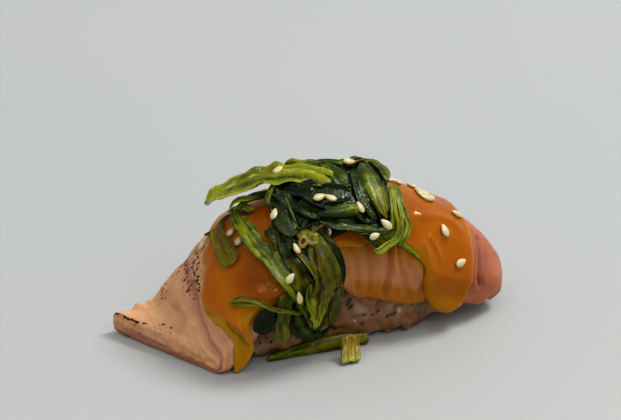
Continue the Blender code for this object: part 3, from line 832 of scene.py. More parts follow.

# The strands that show on top, in the order they are laid: the path over the slice, the
# height over its skin, the width and the thickness in millimetres, the shade from black-green 0 to
# pale 1, and the roll in degrees. A height, width or shade may change along the path.
PLAIN_STRAND = {
    "thick": 0.4, "arch": 0.0, "wave": 0.3, "roll": 0, "twist": 0, "tips": (2, 2), "stray": 0.3,
    "curl": 0.2, "ribs": 1.5, "brown": 0,
}
STRANDS = (
    {"path": ((0.225, -1.28), (0.20, -1.20), (0.17, -1.14), (0.14, -1.08)), "high": 1.5, "wide": 4.4,
     "shade": 0.0, "wave": 0.4, "ribs": 0.4},
    {"path": ((0.12, -0.76), (0.103, -0.92), (0.102, -1.04), (0.117, -1.20)), "high": 1.3,
     "wide": 0.35, "thick": 0.3, "shade": 0.42, "brown": 0.3, "wave": 0.0},
    {"path": ((0.262, -1.05), (0.23, -1.24), (0.195, -1.43), (0.155, -1.62)), "high": 2.0,
     "wide": 3.6, "shade": (0.46, 0.40, 0.45, 0.44), "brown": 0.1, "wave": 0.3, "roll": -10},
    {"path": ((0.265, -1.30), (0.245, -1.58), (0.237, -1.80), (0.23, -1.98)), "high": 1.8,
     "wide": 4.4, "shade": 0.20, "wave": 0.3},
    {"path": ((0.29, -1.50), (0.28, -1.70), (0.30, -1.90)), "high": 1.6, "wide": 4.2, "shade": 0.30},
    {"path": ((0.207, -1.48), (0.198, -1.64), (0.204, -1.80), (0.225, -1.94), (0.262, -2.02),
              (0.34, -1.92)), "high": 2.2, "wide": 1.1, "thick": 0.8, "shade": 0.14, "wave": 0.1},
    {"path": ((0.404, -0.80), (0.397, -0.93), (0.392, -1.05), (0.391, -1.22), (0.384, -1.46),
              (0.362, -1.70), (0.332, -1.88)), "high": 2.1, "wide": (1.8, 2.2, 2.4, 2.8, 3.0, 2.8, 2.0),
     "shade": (0.28, 0.30, 0.30, 0.29, 0.31, 0.33, 0.33), "brown": 0.25, "roll": 12},
    {"path": ((0.365, -0.95), (0.350, -1.12), (0.335, -1.35), (0.320, -1.60), (0.297, -1.80)),
     "high": 2.3, "wide": 3.8, "shade": 0.38, "wave": 0.3, "curl": -0.15, "brown": 0.45},
    {"path": ((0.375, -0.72), (0.362, -0.80), (0.347, -0.88), (0.329, -0.97), (0.313, -1.06),
              (0.302, -1.24), (0.292, -1.48)), "high": 2.9, "wide": 4.6,
     "shade": (0.40, 0.44, 0.47, 0.44, 0.42, 0.46, 0.5), "brown": (0.8, 0.7, 0.4, 0.5, 0.2, 0.1, 0.0),
     "wave": 0.5, "tips": (1, 2)},
    {"path": ((0.345, -0.40), (0.338, -0.48), (0.333, -0.61), (0.323, -0.76), (0.312, -0.91),
              (0.302, -1.02)), "high": 3.0, "wide": 3.6, "shade": (0.18, 0.26, 0.34, 0.38, 0.36, 0.34),
     "brown": (0.0, 0.1, 0.5, 0.7, 0.6, 0.4), "wave": 0.5, "roll": -8},
    {"path": ((0.318, -0.80), (0.308, -0.94), (0.302, -1.06), (0.292, -1.27), (0.28, -1.45)),
     "high": 2.9, "wide": 3.2, "shade": 0.40, "brown": 0.35, "wave": 0.4},
    {"path": ((0.420, -0.56), (0.405, -0.65), (0.390, -0.78), (0.376, -0.91), (0.363, -1.00),
              (0.352, -1.12), (0.339, -1.34), (0.316, -1.53), (0.28, -1.70)), "high": 3.3,
     "wide": (3.0, 3.4, 3.6, 3.6, 3.4, 3.2, 2.8, 2.4, 1.6), "shade": (0.30, 0.32, 0.34, 0.36, 0.36,
                                                                    0.38, 0.40, 0.46, 0.46),
     "brown": (0.0, 0.1, 0.4, 0.5, 0.5, 0.4, 0.3, 0.2, 0.1), "wave": 0.25, "roll": 8,
     "tips": (1, 2)},
    {"path": ((0.318, -1.05), (0.308, -1.20), (0.301, -1.40), (0.282, -1.60), (0.24, -1.79)),
     "high": 3.5, "wide": (2.6, 3.2, 3.4, 2.6, 1.6), "shade": (0.44, 0.54, 0.60, 0.60, 0.70),
     "wave": 0.4, "tips": (2, 1)},
    {"path": ((0.36, -0.60), (0.367, -0.68), (0.373, -0.76), (0.379, -0.82)), "high": 4.0,
     "wide": (2.2, 2.8, 3.0, 2.2), "shade": 0.42, "brown": 0.2, "wave": 0.3, "tips": (1, 0.3)},
    {"path": ((0.463, 0.05), (0.487, 0.10), (0.512, 0.10), (0.540, 0.12), (0.552, 0.05),
              (0.556, -0.08), (0.551, -0.25)), "high": 4.3, "wide": (2.4, 3.6, 4.2, 4.2, 4.0, 3.6, 2.0),
     "shade": (0.10, 0.16, 0.20, 0.24, 0.26, 0.28, 0.30), "wave": 0.4, "roll": -12},
    {"path": ((0.420, 0.30), (0.445, 0.26), (0.470, 0.20), (0.497, 0.16), (0.522, 0.12)), "high": 4.6,
     "wide": 3.6, "shade": (0.12, 0.20, 0.16, 0.24, 0.20), "wave": 0.5, "roll": 10},
    {"path": ((0.372, 0.07), (0.362, 0.17), (0.352, 0.255), (0.343, 0.30), (0.333, 0.30)),
     "high": (3.6, 3.9, 4.0, 3.8, 3.2), "wide": 2.2, "shade": (0.30, 0.44, 0.62, 0.70, 0.72), "wave": 0.3},
    {"path": ((0.383, 0.05), (0.372, 0.137), (0.362, 0.222), (0.347, 0.24), (0.333, 0.205)),
     "high": (3.2, 3.3, 3.2, 3.0, 2.4), "wide": 1.6, "shade": (0.26, 0.40, 0.50, 0.60, 0.62), "wave": 0.3},
    {"path": ((0.355, 0.30), (0.367, 0.24), (0.378, 0.17), (0.39, 0.10)), "high": 3.4, "wide": 3.0,
     "shade": 0.14, "wave": 0.4},
    {"path": ((0.335, 0.42), (0.345, 0.34), (0.352, 0.22), (0.352, 0.06)), "high": 2.3, "wide": 2.0,
     "shade": 0.52, "wave": 0.3, "tips": (2, 1)},
    {"path": ((0.405, -0.10), (0.415, -0.24), (0.427, -0.36), (0.448, -0.40), (0.475, -0.40)),
     "high": 4.9, "wide": 4.4, "shade": 0.03, "wave": 0.6, "roll": -10},
    {"path": ((0.385, -0.05), (0.39, -0.24), (0.393, -0.40), (0.398, -0.51), (0.41, -0.60)),
     "high": 4.9, "wide": 4.6, "shade": 0.04, "wave": 0.6, "roll": 8},
    {"path": ((0.40, -0.28), (0.412, -0.44), (0.427, -0.52), (0.448, -0.54), (0.47, -0.53)),
     "high": 5.2, "wide": 2.6, "shade": 0.06, "wave": 0.4, "roll": 15},
    {"path": ((0.377, -0.24), (0.372, -0.31), (0.367, -0.41), (0.358, -0.51), (0.351, -0.60),
              (0.343, -0.68)), "high": 5.2, "wide": (2.6, 3.4, 4.0, 4.2, 3.4, 1.6),
     "shade": (0.06, 0.14, 0.22, 0.22, 0.20, 0.24), "wave": 0.2, "curl": -0.3, "tips": (1, 0.5)},
    {"path": ((0.382, -0.26), (0.376, -0.36), (0.37, -0.47), (0.364, -0.60)), "high": 5.6,
     "wide": 0.6, "shade": 0.36, "roll": 20, "tips": (1, 1), "wave": 0.0},
    {"path": ((0.40, -0.60), (0.418, -0.66), (0.433, -0.71), (0.453, -0.76), (0.477, -0.78),
              (0.502, -0.80), (0.525, -0.78)), "high": 4.2, "wide": (2.0, 2.6, 2.4, 1.8, 1.6, 1.6, 1.2),
     "thick": 0.8, "shade": (0.12, 0.14, 0.16, 0.20, 0.20, 0.22, 0.24)},
    {"path": ((0.437, -0.71), (0.453, -0.78), (0.473, -0.80), (0.497, -0.83), (0.524, -0.83)),
     "high": 3.9, "wide": 1.2, "thick": 0.8, "shade": 0.30, "wave": 0.1},
    {"path": ((0.466, -0.77), (0.477, -0.85), (0.488, -0.90), (0.503, -0.92)), "high": 3.4,
     "wide": 1.5, "thick": 0.8, "shade": 0.24, "wave": 0.1},
    {"path": ((0.486, -0.74), (0.502, -0.81), (0.518, -0.85), (0.538, -0.85)), "high": 3.7,
     "wide": 1.6, "thick": 0.8, "shade": 0.40, "wave": 0.1},
    {"path": ((0.40, -0.592), (0.417, -0.594), (0.433, -0.605), (0.453, -0.596), (0.469, -0.594)),
     "high": 5.2, "wide": 2.6, "thick": 2.1, "shade": (0.06, 0.14, 0.26, 0.40, 0.44),
     "wave": 0.0, "curl": 0.0, "ribs": 0.3, "tips": (3, 0.2)},
    {"path": ((0.285, 0.43), (0.292, 0.33), (0.298, 0.27), (0.309, 0.27)), "high": 2.0, "wide": 0.8,
     "thick": 0.7, "shade": 0.20, "wave": 0.0, "tips": (2, 1)},
    {"path": ((0.335, 0.28), (0.327, 0.31), (0.312, 0.29), (0.300, 0.21), (0.287, 0.10),
              (0.278, -0.08), (0.268, -0.25), (0.259, -0.40)), "high": 2.3,
     "wide": (0.8, 1.0, 1.6, 2.4, 3.2, 3.8, 4.0, 3.8), "shade": (0.22, 0.24, 0.30, 0.36, 0.42, 0.44,
                                                                 0.46, 0.50),
     "brown": (0.0, 0.1, 0.3, 0.55, 0.7, 0.7, 0.6, 0.5), "wave": 0.2, "roll": -8, "tips": (1, 0.3),
     "stray": 0.0},
    {"path": ((0.338, 0.30), (0.328, 0.12), (0.319, -0.08), (0.312, -0.27), (0.304, -0.45),
              (0.300, -0.62), (0.296, -0.78), (0.287, -0.93), (0.279, -1.05), (0.273, -1.26),
              (0.262, -1.52), (0.245, -1.76)), "high": (3.0, 2.9, 2.8, 2.8, 2.9, 3.0, 3.2, 3.3, 3.4, 3.4,
                                                        3.2, 3.0),
     "wide": (1.4, 2.2, 3.0, 3.4, 3.6, 3.4, 3.4, 3.4, 3.0, 2.8, 2.4, 1.6),
     "shade": (0.26, 0.30, 0.36, 0.42, 0.46, 0.42, 0.40, 0.38, 0.40, 0.40, 0.50, 0.66),
     "thick": 0.6, "wave": 0.3, "roll": 10, "curl": 0.35, "tips": (2, 0.6), "stray": 0.0},
    {"path": ((0.172, -0.70), (0.187, -0.81), (0.194, -0.91), (0.203, -0.99), (0.210, -1.06)),
     "high": 2.1, "wide": (1.6, 1.9, 1.6, 1.2, 0.8), "shade": 0.48, "wave": 0.2},
    {"path": ((0.178, -0.74), (0.197, -0.92), (0.204, -1.02), (0.218, -1.14), (0.237, -1.34),
              (0.258, -1.49)), "high": 2.6, "wide": 0.8, "thick": 0.6, "shade": 0.52,
     "brown": 0.3, "wave": 0.0},
    {"path": ((0.462, 0.20), (0.475, 0.02), (0.477, -0.18), (0.472, -0.36)), "high": 5.1,
     "wide": (3.0, 4.0, 4.2, 3.6), "shade": (0.26, 0.27, 0.27, 0.26), "wave": 0.5},
    {"path": ((0.497, -0.10), (0.483, -0.33), (0.473, -0.47), (0.468, -0.61), (0.472, -0.71)),
     "high": 4.5, "wide": 1.9, "thick": 0.7, "shade": 0.08},
    {"path": ((0.517, 0.00), (0.498, -0.28), (0.487, -0.45), (0.487, -0.59), (0.493, -0.70)),
     "high": 4.8, "wide": 2.2, "thick": 0.7, "shade": (0.20, 0.18, 0.18, 0.20, 0.22)},
    {"path": ((0.418, 0.34), (0.437, 0.26), (0.455, 0.19), (0.473, 0.185), (0.492, 0.155),
              (0.507, 0.09), (0.522, 0.05)), "high": (5.0, 5.1, 5.1, 5.1, 5.1, 5.1, 5.0), "wide": 1.9,
     "thick": 0.9, "shade": (0.24, 0.34, 0.36, 0.28, 0.30, 0.34, 0.30), "wave": 0.1},
    {"path": ((0.505, 0.02), (0.527, 0.10), (0.547, 0.12), (0.552, 0.03), (0.553, -0.12),
              (0.547, -0.26)), "high": (5.2, 5.3, 5.3, 5.3, 5.3, 5.2), "wide": 2.4, "thick": 0.9,
     "shade": (0.24, 0.38, 0.44, 0.38, 0.36, 0.40), "brown": 0.1},
    {"path": ((0.540, 0.14), (0.528, -0.08), (0.522, -0.27), (0.522, -0.42), (0.517, -0.56),
              (0.511, -0.67)), "high": (5.4, 5.4, 5.3, 5.2, 5.0, 4.7),
     "wide": (2.2, 4.2, 5.2, 5.0, 3.4, 0.8), "shade": (0.28, 0.30, 0.31, 0.37, 0.41, 0.46),
     "brown": (0.0, 0.0, 0.05, 0.15, 0.2, 0.3), "wave": 0.2, "curl": -0.15, "tips": (2, 1)},
    {"path": ((0.588, -0.13), (0.574, -0.37), (0.568, -0.56), (0.567, -0.70), (0.552, -0.83),
              (0.537, -0.90)), "high": 3.0, "wide": 1.4, "thick": 0.7, "shade": 0.44, "wave": 0.0},
    {"path": ((0.557, -0.27), (0.547, -0.44), (0.537, -0.59), (0.527, -0.71), (0.517, -0.81),
              (0.497, -0.88)), "high": 3.8, "wide": 0.9, "thick": 0.7, "shade": 0.46, "wave": 0.0},
    {"path": ((0.562, -0.23), (0.552, -0.44), (0.542, -0.61), (0.537, -0.73), (0.522, -0.83),
              (0.502, -0.90)), "high": 4.0, "wide": 1.0, "thick": 0.7,
     "shade": (0.56, 0.54, 0.48, 0.42, 0.38, 0.36), "wave": 0.0},
    {"path": ((0.525, -0.85), (0.542, -0.867), (0.557, -0.90), (0.573, -0.935), (0.584, -0.952)),
     "high": 3.0, "wide": 1.5, "shade": 0.44, "wave": 0.0, "tips": (1, 4)},
    {"path": ((0.573, -0.13), (0.558, -0.37), (0.552, -0.54), (0.547, -0.66), (0.542, -0.78),
              (0.527, -0.87), (0.503, -0.915), (0.483, -0.948), (0.470, -0.952)), "high": 4.1,
     "wide": (0.7, 0.8, 0.8, 0.9, 0.9, 1.0, 1.3, 1.3, 0.7), "thick": 0.6,
     "shade": (0.48, 0.54, 0.55, 0.50, 0.48, 0.50, 0.54, 0.56, 0.56),
     "wave": 0.0, "tips": (3, 1)},
    {"path": ((0.430, 0.42), (0.447, 0.36), (0.462, 0.25), (0.472, 0.10), (0.474, -0.12)),
     "high": 4.9, "wide": (2.2, 3.4, 3.8, 3.4, 2.0), "shade": (0.34, 0.52, 0.58, 0.56, 0.40),
     "wave": 0.6, "roll": -15},
    {"path": ((0.320, 0.57), (0.337, 0.50), (0.352, 0.42), (0.368, 0.33), (0.386, 0.27),
              (0.402, 0.19), (0.418, 0.11), (0.436, 0.02), (0.448, -0.13), (0.458, -0.26)),
     "high": 5.5, "wide": (3.6, 4.6, 5.2, 5.6, 5.8, 5.6, 5.2, 4.8, 4.4, 3.8), "thick": 0.4,
     "shade": (0.80, 0.76, 0.68, 0.62, 0.55, 0.52, 0.54, 0.50, 0.54, 0.46), "wave": 0.6, "roll": -14,
     "curl": 0.1, "tips": (0.7, 0.4), "ribs": 2.0},
    {"path": ((0.406, -0.64), (0.412, -0.68), (0.412, -0.73), (0.407, -0.77)), "high": 3.7,
     "wide": 0.5, "thick": 0.4, "shade": 0.95, "wave": 0.0, "tips": (0.5, 0.5), "stray": 0.0},
)

heap_rim = curve(HEART_OUTLINE + HEART_OUTLINE[:1], np.linspace(0, 1, HEART_SPOKES + 1))[:-1]
ring, spoke = np.meshgrid(np.arange(HEART_RINGS + 1), np.arange(HEART_SPOKES), indexing="ij")
ring, spoke = ring.ravel(), spoke.ravel()
share = (ring / HEART_RINGS)[:, None]
where = np.array(HEAP_MIDDLE) + (heap_rim[spoke] - HEAP_MIDDLE) * share * HEART_SHARE
place, way_out = skin(where[:, 0], where[:, 1])
hanging = smooth_step((-where[:, 1] - 0.6) / 0.6)
rise = HEART_RISE + (HEART_HANG - HEART_RISE) * hanging
rise = rise * (1 + 0.5 * lumps(place, 3.5 * MM, 3.0)) + 0.35 * lumps(place, 1.4 * MM, 8.0)
over = place + way_out * ((HEART_FLOOR + rise * np.sqrt(1 - share[:, 0] ** 3)) * MM)[:, None]
under = place + way_out * (HEART_FLOOR * MM)
over[:, 2], under[:, 2] = np.maximum(over[:, 2], 0.4 * MM), np.maximum(under[:, 2], 0.3 * MM)
grid = np.arange(len(place)).reshape(HEART_RINGS + 1, HEART_SPOKES)
wide_grid = np.concatenate((grid, grid[:, :1]), 1)
quads = np.stack((wide_grid[1:-1, :-1], wide_grid[2:, :-1], wide_grid[2:, 1:],
                  wide_grid[1:-1, 1:]), -1).reshape(-1, 4)
fans = np.stack((wide_grid[1, :-1], wide_grid[1, 1:]), 1)
count = len(place)
rim = np.stack((wide_grid[-1, :-1], wide_grid[-1, :-1] + count, wide_grid[-1, 1:] + count,
                wide_grid[-1, 1:]), 1)
heart_faces = quads.tolist() + (quads[:, ::-1] + count).tolist() + rim.tolist()
heart_faces += [(0, *pair) for pair in fans.tolist()]
heart_faces += [(count, pair[1] + count, pair[0] + count) for pair in fans.tolist()]


def tidied(piece):
    """Joins what touches, drops loose places, and turns every face of the piece outwards."""
    bm = bmesh.new()
    bm.from_mesh(piece.data)
    bmesh.ops.remove_doubles(bm, verts=bm.verts, dist=0.002 * MM)
    bmesh.ops.delete(bm, geom=[v for v in bm.verts if not v.link_faces], context="VERTS")
    bmesh.ops.recalc_face_normals(bm, faces=bm.faces)
    bm.to_mesh(piece.data)
    bm.free()
    return piece


def many_tones(tree, value, stops):
    """A colour picked by a number from 0 to 1 along these stops."""
    picked = node(tree, "ShaderNodeValToRGB", {"Fac": value})
    ramp = picked.color_ramp
    while len(ramp.elements) < len(stops):
        ramp.elements.new(0.5)
    for element, (position, colour) in zip(ramp.elements, stops):
        element.position, element.color = position, colour
    return picked.outputs["Color"]


WEED_TONES = (
    (0.0, tone(6, 14, 4)), (0.12, tone(20, 32, 0)), (0.30, tone(46, 62, 0)),
    (0.45, tone(96, 104, 0)), (0.52, tone(118, 112, 0)), (0.68, tone(130, 136, 26)),
    (0.88, tone(150, 150, 14)), (1.0, tone(214, 208, 152)),
)

heart_paint, tree, shader = paint("packed seaweed", 0.25, Specular_IOR_Level=0.1,
                                  Specular_Tint=(0.8, 1.0, 0.6, 1.0))
cloud = speckle(tree, 2.2 * MM, detail=3.0)
grain = speckle(tree, 0.7 * MM, detail=3.0)
tree.links.new(many_tones(tree, cloud, ((0.35, tone(8, 12, 6)), (0.55, tone(22, 32, 8)),
                                        (0.75, tone(52, 62, 10)))), shader.inputs["Base Color"])
tree.links.new(level(tree, grain, 0.3, 0.7, 0.15, 0.4), shader.inputs["Roughness"])
embossed(tree, shader, grain, 0.5 * MM)
heart = tidied(new_piece("seaweed_heart", np.concatenate((over, under)), heart_faces, heart_paint))

# The pile's height over the slice's skin, in millimetres, on a grid over its chart. Each strand
# lies on what is there, and then counts as part of it.
pile_s = np.arange(0, SLICE_LENGTH + PILE_CELL, PILE_CELL)
pile_a = np.arange(-28, 20, PILE_CELL)
grid_s, grid_a = np.meshgrid(pile_s, pile_a, indexing="ij")
start, way_out = skin(grid_s.ravel() / SLICE_LENGTH, grid_a.ravel() / MIDDLE_MARK)
solids = bmesh.new()
for piece in (salmon, sauce, heart):
    solids.from_mesh(piece.data)
surface = BVHTree.FromBMesh(solids)
solids.free()
REACH = 12.0
pile = np.zeros(len(start))
for i, (foot, way) in enumerate(zip(start, way_out)):
    hit = surface.ray_cast(Vector(foot + way * REACH * MM), Vector(-way), REACH * MM)
    pile[i] = REACH - hit[3] / MM if hit[0] else 0.0
pile = np.maximum(pile.reshape(grid_s.shape), 0.0)


def pile_cells(places):
    """The grid cells under places on the chart."""
    cells = np.rint((places - (pile_s[0], pile_a[0])) / PILE_CELL).astype(int)
    return tuple(np.clip(cells, 0, np.array(pile.shape) - 1).T)


def running(values, reach, combine):
    """Each value combined with those within reach of it along the strand."""
    padded = np.pad(values, reach, mode="edge")
    return combine([padded[i:i + len(values)] for i in range(2 * reach + 1)], axis=0)


def along(value, t):
    """A strand's measure at each t: the same all along it, or changing through these stops."""
    return curve(value, t) if isinstance(value, tuple) else np.full(len(t), float(value))


def drifting(run, pace, seed):
    """A slow random swing along a strand, from -1 to 1."""
    return np.array([noise.noise(Vector((x / pace, seed, 5))) for x in run])


def laid_strand(strand, number):
    """One strand's rail over the pile: its places and what each carries along the strand."""
    strand = {**PLAIN_STRAND, **strand}
    stops = np.array(strand["path"]) * (SLICE_LENGTH, MIDDLE_MARK)
    length = np.linalg.norm(np.diff(stops, axis=0), axis=1).sum()
    t = np.linspace(0, 1, max(int(length / STRAND_STEP), 7) + 1)
    run = t * length
    line = curve(stops, t)
    ahead = unit(np.gradient(line, axis=0))
    beside_way = np.stack((-ahead[:, 1], ahead[:, 0]), 1)
    line = line + beside_way * (drifting(run, 5.0, number * 3.7) * strand["stray"])[:, None]
    first, last = strand["tips"]
    taper = np.sqrt(np.clip(run / first, 0, 1)) * np.sqrt(np.clip((length - run) / last, 0, 1))
    half_wide = along(strand["wide"], t) / 2 * (0.14 + 0.86 * taper)
    half_wide *= 1 + 0.2 * drifting(run, 3.0, number * 5.1)
    half_thick = strand["thick"] / 2 * (0.45 + 0.55 * taper)
    under = [pile[pile_cells(line + beside_way * (half_wide * part)[:, None])]
             for part in (-0.8, -0.4, 0.0, 0.4, 0.8)]
    ground = np.max(under, axis=0) * 0.75 + np.mean(under, axis=0) * 0.25
    ground = running(running(ground, 2, np.max), 3, np.mean)
    high = np.minimum(ground + half_thick + 0.05, PILE_CEILING)
    if "high" in strand:
        high = along(strand["high"], t)
    reached = high + half_thick
    for part in np.linspace(-0.9, 0.9, 7):
        cells = pile_cells(line + beside_way * (half_wide * part)[:, None])
        np.maximum.at(pile, cells, reached - 0.15)
    roll = np.radians(strand["roll"] + strand["twist"] * (t - 0.5))
    high = high + strand["arch"] * np.sin(np.pi * t)
    foot, way_out = skin(line[:, 0] / SLICE_LENGTH, line[:, 1] / MIDDLE_MARK)
    rail = foot + way_out * (high * MM)[:, None]
    rail[:, 2] = np.maximum(rail[:, 2], (0.3 + half_thick) * MM)
    tangent = unit(np.gradient(rail, axis=0))
    level_side = unit(np.cross(tangent, way_out))
    facing = unit(np.cross(level_side, tangent))
    side = level_side * np.cos(roll)[:, None] + facing * np.sin(roll)[:, None]
    facing = unit(np.cross(side, tangent))
    waves = [np.sin(run * turn + number * 1.7 + shift) * (0.5 + 0.5 * np.sin(run * 0.7 + number))
             for turn, shift in ((2.0, 0.0), (2.5, 2.1))]
    return {
        "rail": rail, "side": side * (half_wide * MM)[:, None],
        "facing": facing * (half_thick * MM)[:, None], "way_up": facing,
        "wave_one": waves[0] * strand["wave"] * MM, "wave_two": waves[1] * strand["wave"] * MM,
        "curl": half_wide * (strand["curl"] + 0.35 * drifting(run, 4.0, number * 2.9)) * MM,
        "rib": np.minimum(0.10 * half_wide, 0.14) * strand["ribs"] * MM,
        "rib_shift": number * 2.3 + 1.2 * drifting(run, 5.0, number * 3.7),
        "shade": along(strand["shade"], t), "brown": along(strand["brown"], t), "run": run,
        "number": np.full(len(t), number),
    }


def inside_outline(place):
    """Whether a place over the slice is within the heap's outline."""
    x, y = place
    ends = np.roll(heap_rim, -1, axis=0)
    crosses = (heap_rim[:, 1] > y) != (ends[:, 1] > y)
    slope = (ends[:, 0] - heap_rim[:, 0]) / np.where(crosses, ends[:, 1] - heap_rim[:, 1], 1)
    return bool(np.sum(crosses & (x < heap_rim[:, 0] + slope * (y - heap_rim[:, 1]))) % 2)


# The many strands underneath run every way over the top of the heap and down its hanging tongue.
chance = np.random.default_rng(FILLER_SEED)
fillers = []
while len(fillers) < FILLER_COUNT:
    place = np.array((chance.uniform(0.2, 0.6), chance.uniform(-0.8, 0.85)))
    if not inside_outline(place):
        continue
    heading = chance.uniform(0, 2 * math.pi)
    if place[1] < -0.7:
        heading = -math.pi / 2 + chance.normal(0, 0.35)
    turn = chance.normal(0, 0.16)
    path = [place]
    for _ in range(int(chance.integers(5, 11))):
        heading += turn + chance.normal(0, 0.12)
        if path[-1][1] < -0.6:
            heading += 0.35 * math.sin(-math.pi / 2 - heading)
        step = np.array((math.cos(heading) * 2.0 / SLICE_LENGTH, math.sin(heading) * 2.0 / MIDDLE_MARK))
        if not inside_outline(path[-1] + step * 0.8):
            break
        path.append(path[-1] + step)
    if len(path) < 5:
        continue
    broad = chance.random() < 0.65
    hangs = place[1] < -0.7
    dark = float(np.clip(chance.choice((0.04, 0.1, 0.18, 0.28, 0.36), p=(0.3, 0.25, 0.2, 0.15, 0.1))
                         + chance.normal(0, 0.03), 0, 1))
    fillers.append({
        "path": path, "wide": chance.uniform(2.8, 4.6) if broad else chance.uniform(0.8, 1.8),
        "thick": chance.uniform(0.4, 0.6) if broad else chance.uniform(0.5, 0.9),
        "arch": chance.uniform(0, 0.2), "wave": 0.4 if broad else 0.1,
        "shade": 0.29 + 0.4 * dark if hangs else dark, "brown": 0.35 if hangs else 0.0,
        "roll": chance.normal(0, 12), "twist": chance.normal(0, 25), "tips": (2, 2), "stray": 0.8,
    })

# Thin loose threads over all that
wisps = []
while len(wisps) < WISP_COUNT:
    place = np.array((chance.uniform(0.30, 0.57), chance.uniform(-1.5, 0.05)))
    heading = chance.choice((-math.pi / 2, 0.0)) + chance.normal(0, 0.5)
    turn = chance.normal(0, 0.14)
    path = [place]
    for _ in range(int(chance.integers(4, 9))):
        heading += turn
        path.append(path[-1] + np.array((math.cos(heading) * 1.8 / SLICE_LENGTH,
                                         math.sin(heading) * 1.8 / MIDDLE_MARK)))
    if not all(inside_outline(place) for place in path):
        continue
    wisps.append({"path": path, "wide": chance.uniform(0.5, 1.0), "thick": 0.4, "wave": 0.0,
                  "shade": chance.uniform(0.15, 0.5), "brown": chance.uniform(0, 0.5)})

rails = [laid_strand(strand, number) for number, strand in enumerate((*fillers, *STRANDS, *wisps))]

weed_paint, tree, shader = paint("wet seaweed", 0.12, Subsurface_Weight=0.25, Specular_IOR_Level=0.2,
                                 Subsurface_Radius=(0.6, 1.0, 0.2), Subsurface_Scale=0.0010,
                                 Specular_Tint=(0.95, 1.0, 0.7, 1.0))
sideways = sums(tree, "ABSOLUTE", carried(tree, "across"), 0.0)
place = node(tree, "ShaderNodeCombineXYZ", {
    0: sums(tree, "MULTIPLY", carried(tree, "across"), 1.6),
    1: sums(tree, "MULTIPLY", carried(tree, "run"), 0.10), 2: carried(tree, "number")})
ribs = speckle(tree, 1.0, where=place.outputs[0], detail=3.0)
cloud = speckle(tree, 1.6 * MM, detail=3.0)
grain = speckle(tree, 0.45 * MM, detail=2.0)
contrast = level(tree, carried(tree, "shade"), 0.35, 0.6, 0.13, 0.24)
ribbing = sums(tree, "MULTIPLY", level(tree, ribs, 0.3, 0.7, -1.0, 1.0), contrast)
shade = sums(tree, "ADD", carried(tree, "shade"), ribbing)
shade = sums(tree, "ADD", shade, level(tree, cloud, 0.3, 0.7, -0.07, 0.07))
# Edges are painted darker on dark strands and lighter on pale ones; the lighter edges are painted highlight
# and painted light through the thin edge.
edge = level(tree, sideways, 0.75, 1.0)
lean_light = level(tree, carried(tree, "shade"), 0.45, 0.75, -0.16, 0.10)
shade = sums(tree, "ADD", shade, sums(tree, "MULTIPLY", edge, lean_light))
green = many_tones(tree, shade, WEED_TONES)
green = mixed(tree, carried(tree, "brown"), green, tone(98, 66, 0))
# Pale flecks and streaks along the ribs are painted glints and highlights of the wet strands.
place = node(tree, "ShaderNodeCombineXYZ", {
    0: sums(tree, "MULTIPLY", carried(tree, "across"), 3.4),
    1: sums(tree, "MULTIPLY", carried(tree, "run"), 0.45), 2: carried(tree, "number")})
froth = level(tree, speckle(tree, 1.0, where=place.outputs[0], detail=2.0), 0.58, 0.70)
froth = sums(tree, "MULTIPLY", froth, level(tree, carried(tree, "shade"), 0.32, 0.80, 0.0, 0.8))
green = mixed(tree, froth, green, tone(206, 204, 118))
# Sparse pale flecks are painted glints on the wet surface.
wet = level(tree, speckle(tree, 1.0, where=place.outputs[0], detail=4.0, roughness=0.7), 0.64, 0.72)
green = mixed(tree, sums(tree, "MULTIPLY", wet, 0.5), green, tone(170, 172, 108))
tree.links.new(green, shader.inputs["Base Color"])
tree.links.new(level(tree, grain, 0.3, 0.7, 0.05, 0.14), shader.inputs["Roughness"])
height = sums(tree, "ADD", sums(tree, "MULTIPLY", ribs, 0.5), sums(tree, "MULTIPLY", grain, 0.5))
embossed(tree, shader, height, 0.3 * MM, 0.9)

# A round outline swept along each rail, then pressed to the strand's own width and thickness,
# with its two edges waved
tree, given, made = nodes_for("seaweed strand", Sides="NodeSocketInt", Paint="NodeSocketMaterial")
RIB_COUNT = 2.0


def stored(tree, name, kind="FLOAT"):
    """What each point carries by this name, inside a geometry tree."""
    return node(tree, "GeometryNodeInputNamedAttribute", {"Name": name}, data_type=kind).outputs[0]


def vectors(tree, operation, first, second):
    kind = 3 if operation == "SCALE" else 1
    return node(tree, "ShaderNodeVectorMath", {0: first, kind: second}, operation=operation).outputs[0]


ring = node(tree, "GeometryNodeCurvePrimitiveCircle", {"Resolution": given["Sides"], "Radius": 1.0})
where = node(tree, "ShaderNodeSeparateXYZ", {0: node(tree, "GeometryNodeInputPosition").outputs[0]})
marked = ring.outputs[0]
for label, output in (("across", 0), ("rise", 1)):
    marked = node(tree, "GeometryNodeStoreNamedAttribute", {
        "Geometry": marked, "Name": label, "Value": where.outputs[output]},
        data_type="FLOAT", domain="POINT").outputs[0]
line = node(tree, "GeometryNodeMeshToCurve", {"Mesh": given["Geometry"]})
swept = node(tree, "GeometryNodeCurveToMesh", {"Curve": line.outputs[0], "Profile Curve": marked,
                                               "Fill Caps": True})
across, rise = stored(tree, "across"), stored(tree, "rise")
to_right = node(tree, "ShaderNodeMath", {0: across, 1: 0.0}, operation="MAXIMUM").outputs[0]
to_left = node(tree, "ShaderNodeMath", {0: across, 1: 0.0}, operation="MINIMUM").outputs[0]
wave = sums(tree, "ADD", sums(tree, "MULTIPLY", to_right, stored(tree, "wave_one")),
            sums(tree, "MULTIPLY", to_left, stored(tree, "wave_two")))
ribbed = sums(tree, "ADD", sums(tree, "MULTIPLY", across, math.pi * RIB_COUNT), stored(tree, "rib_shift"))
ribbed = sums(tree, "MULTIPLY", sums(tree, "SINE", ribbed, 0.0), stored(tree, "rib"))
curled = sums(tree, "MULTIPLY", sums(tree, "MULTIPLY", across, across), stored(tree, "curl"))
wave = sums(tree, "ADD", wave, sums(tree, "ADD", ribbed, curled))
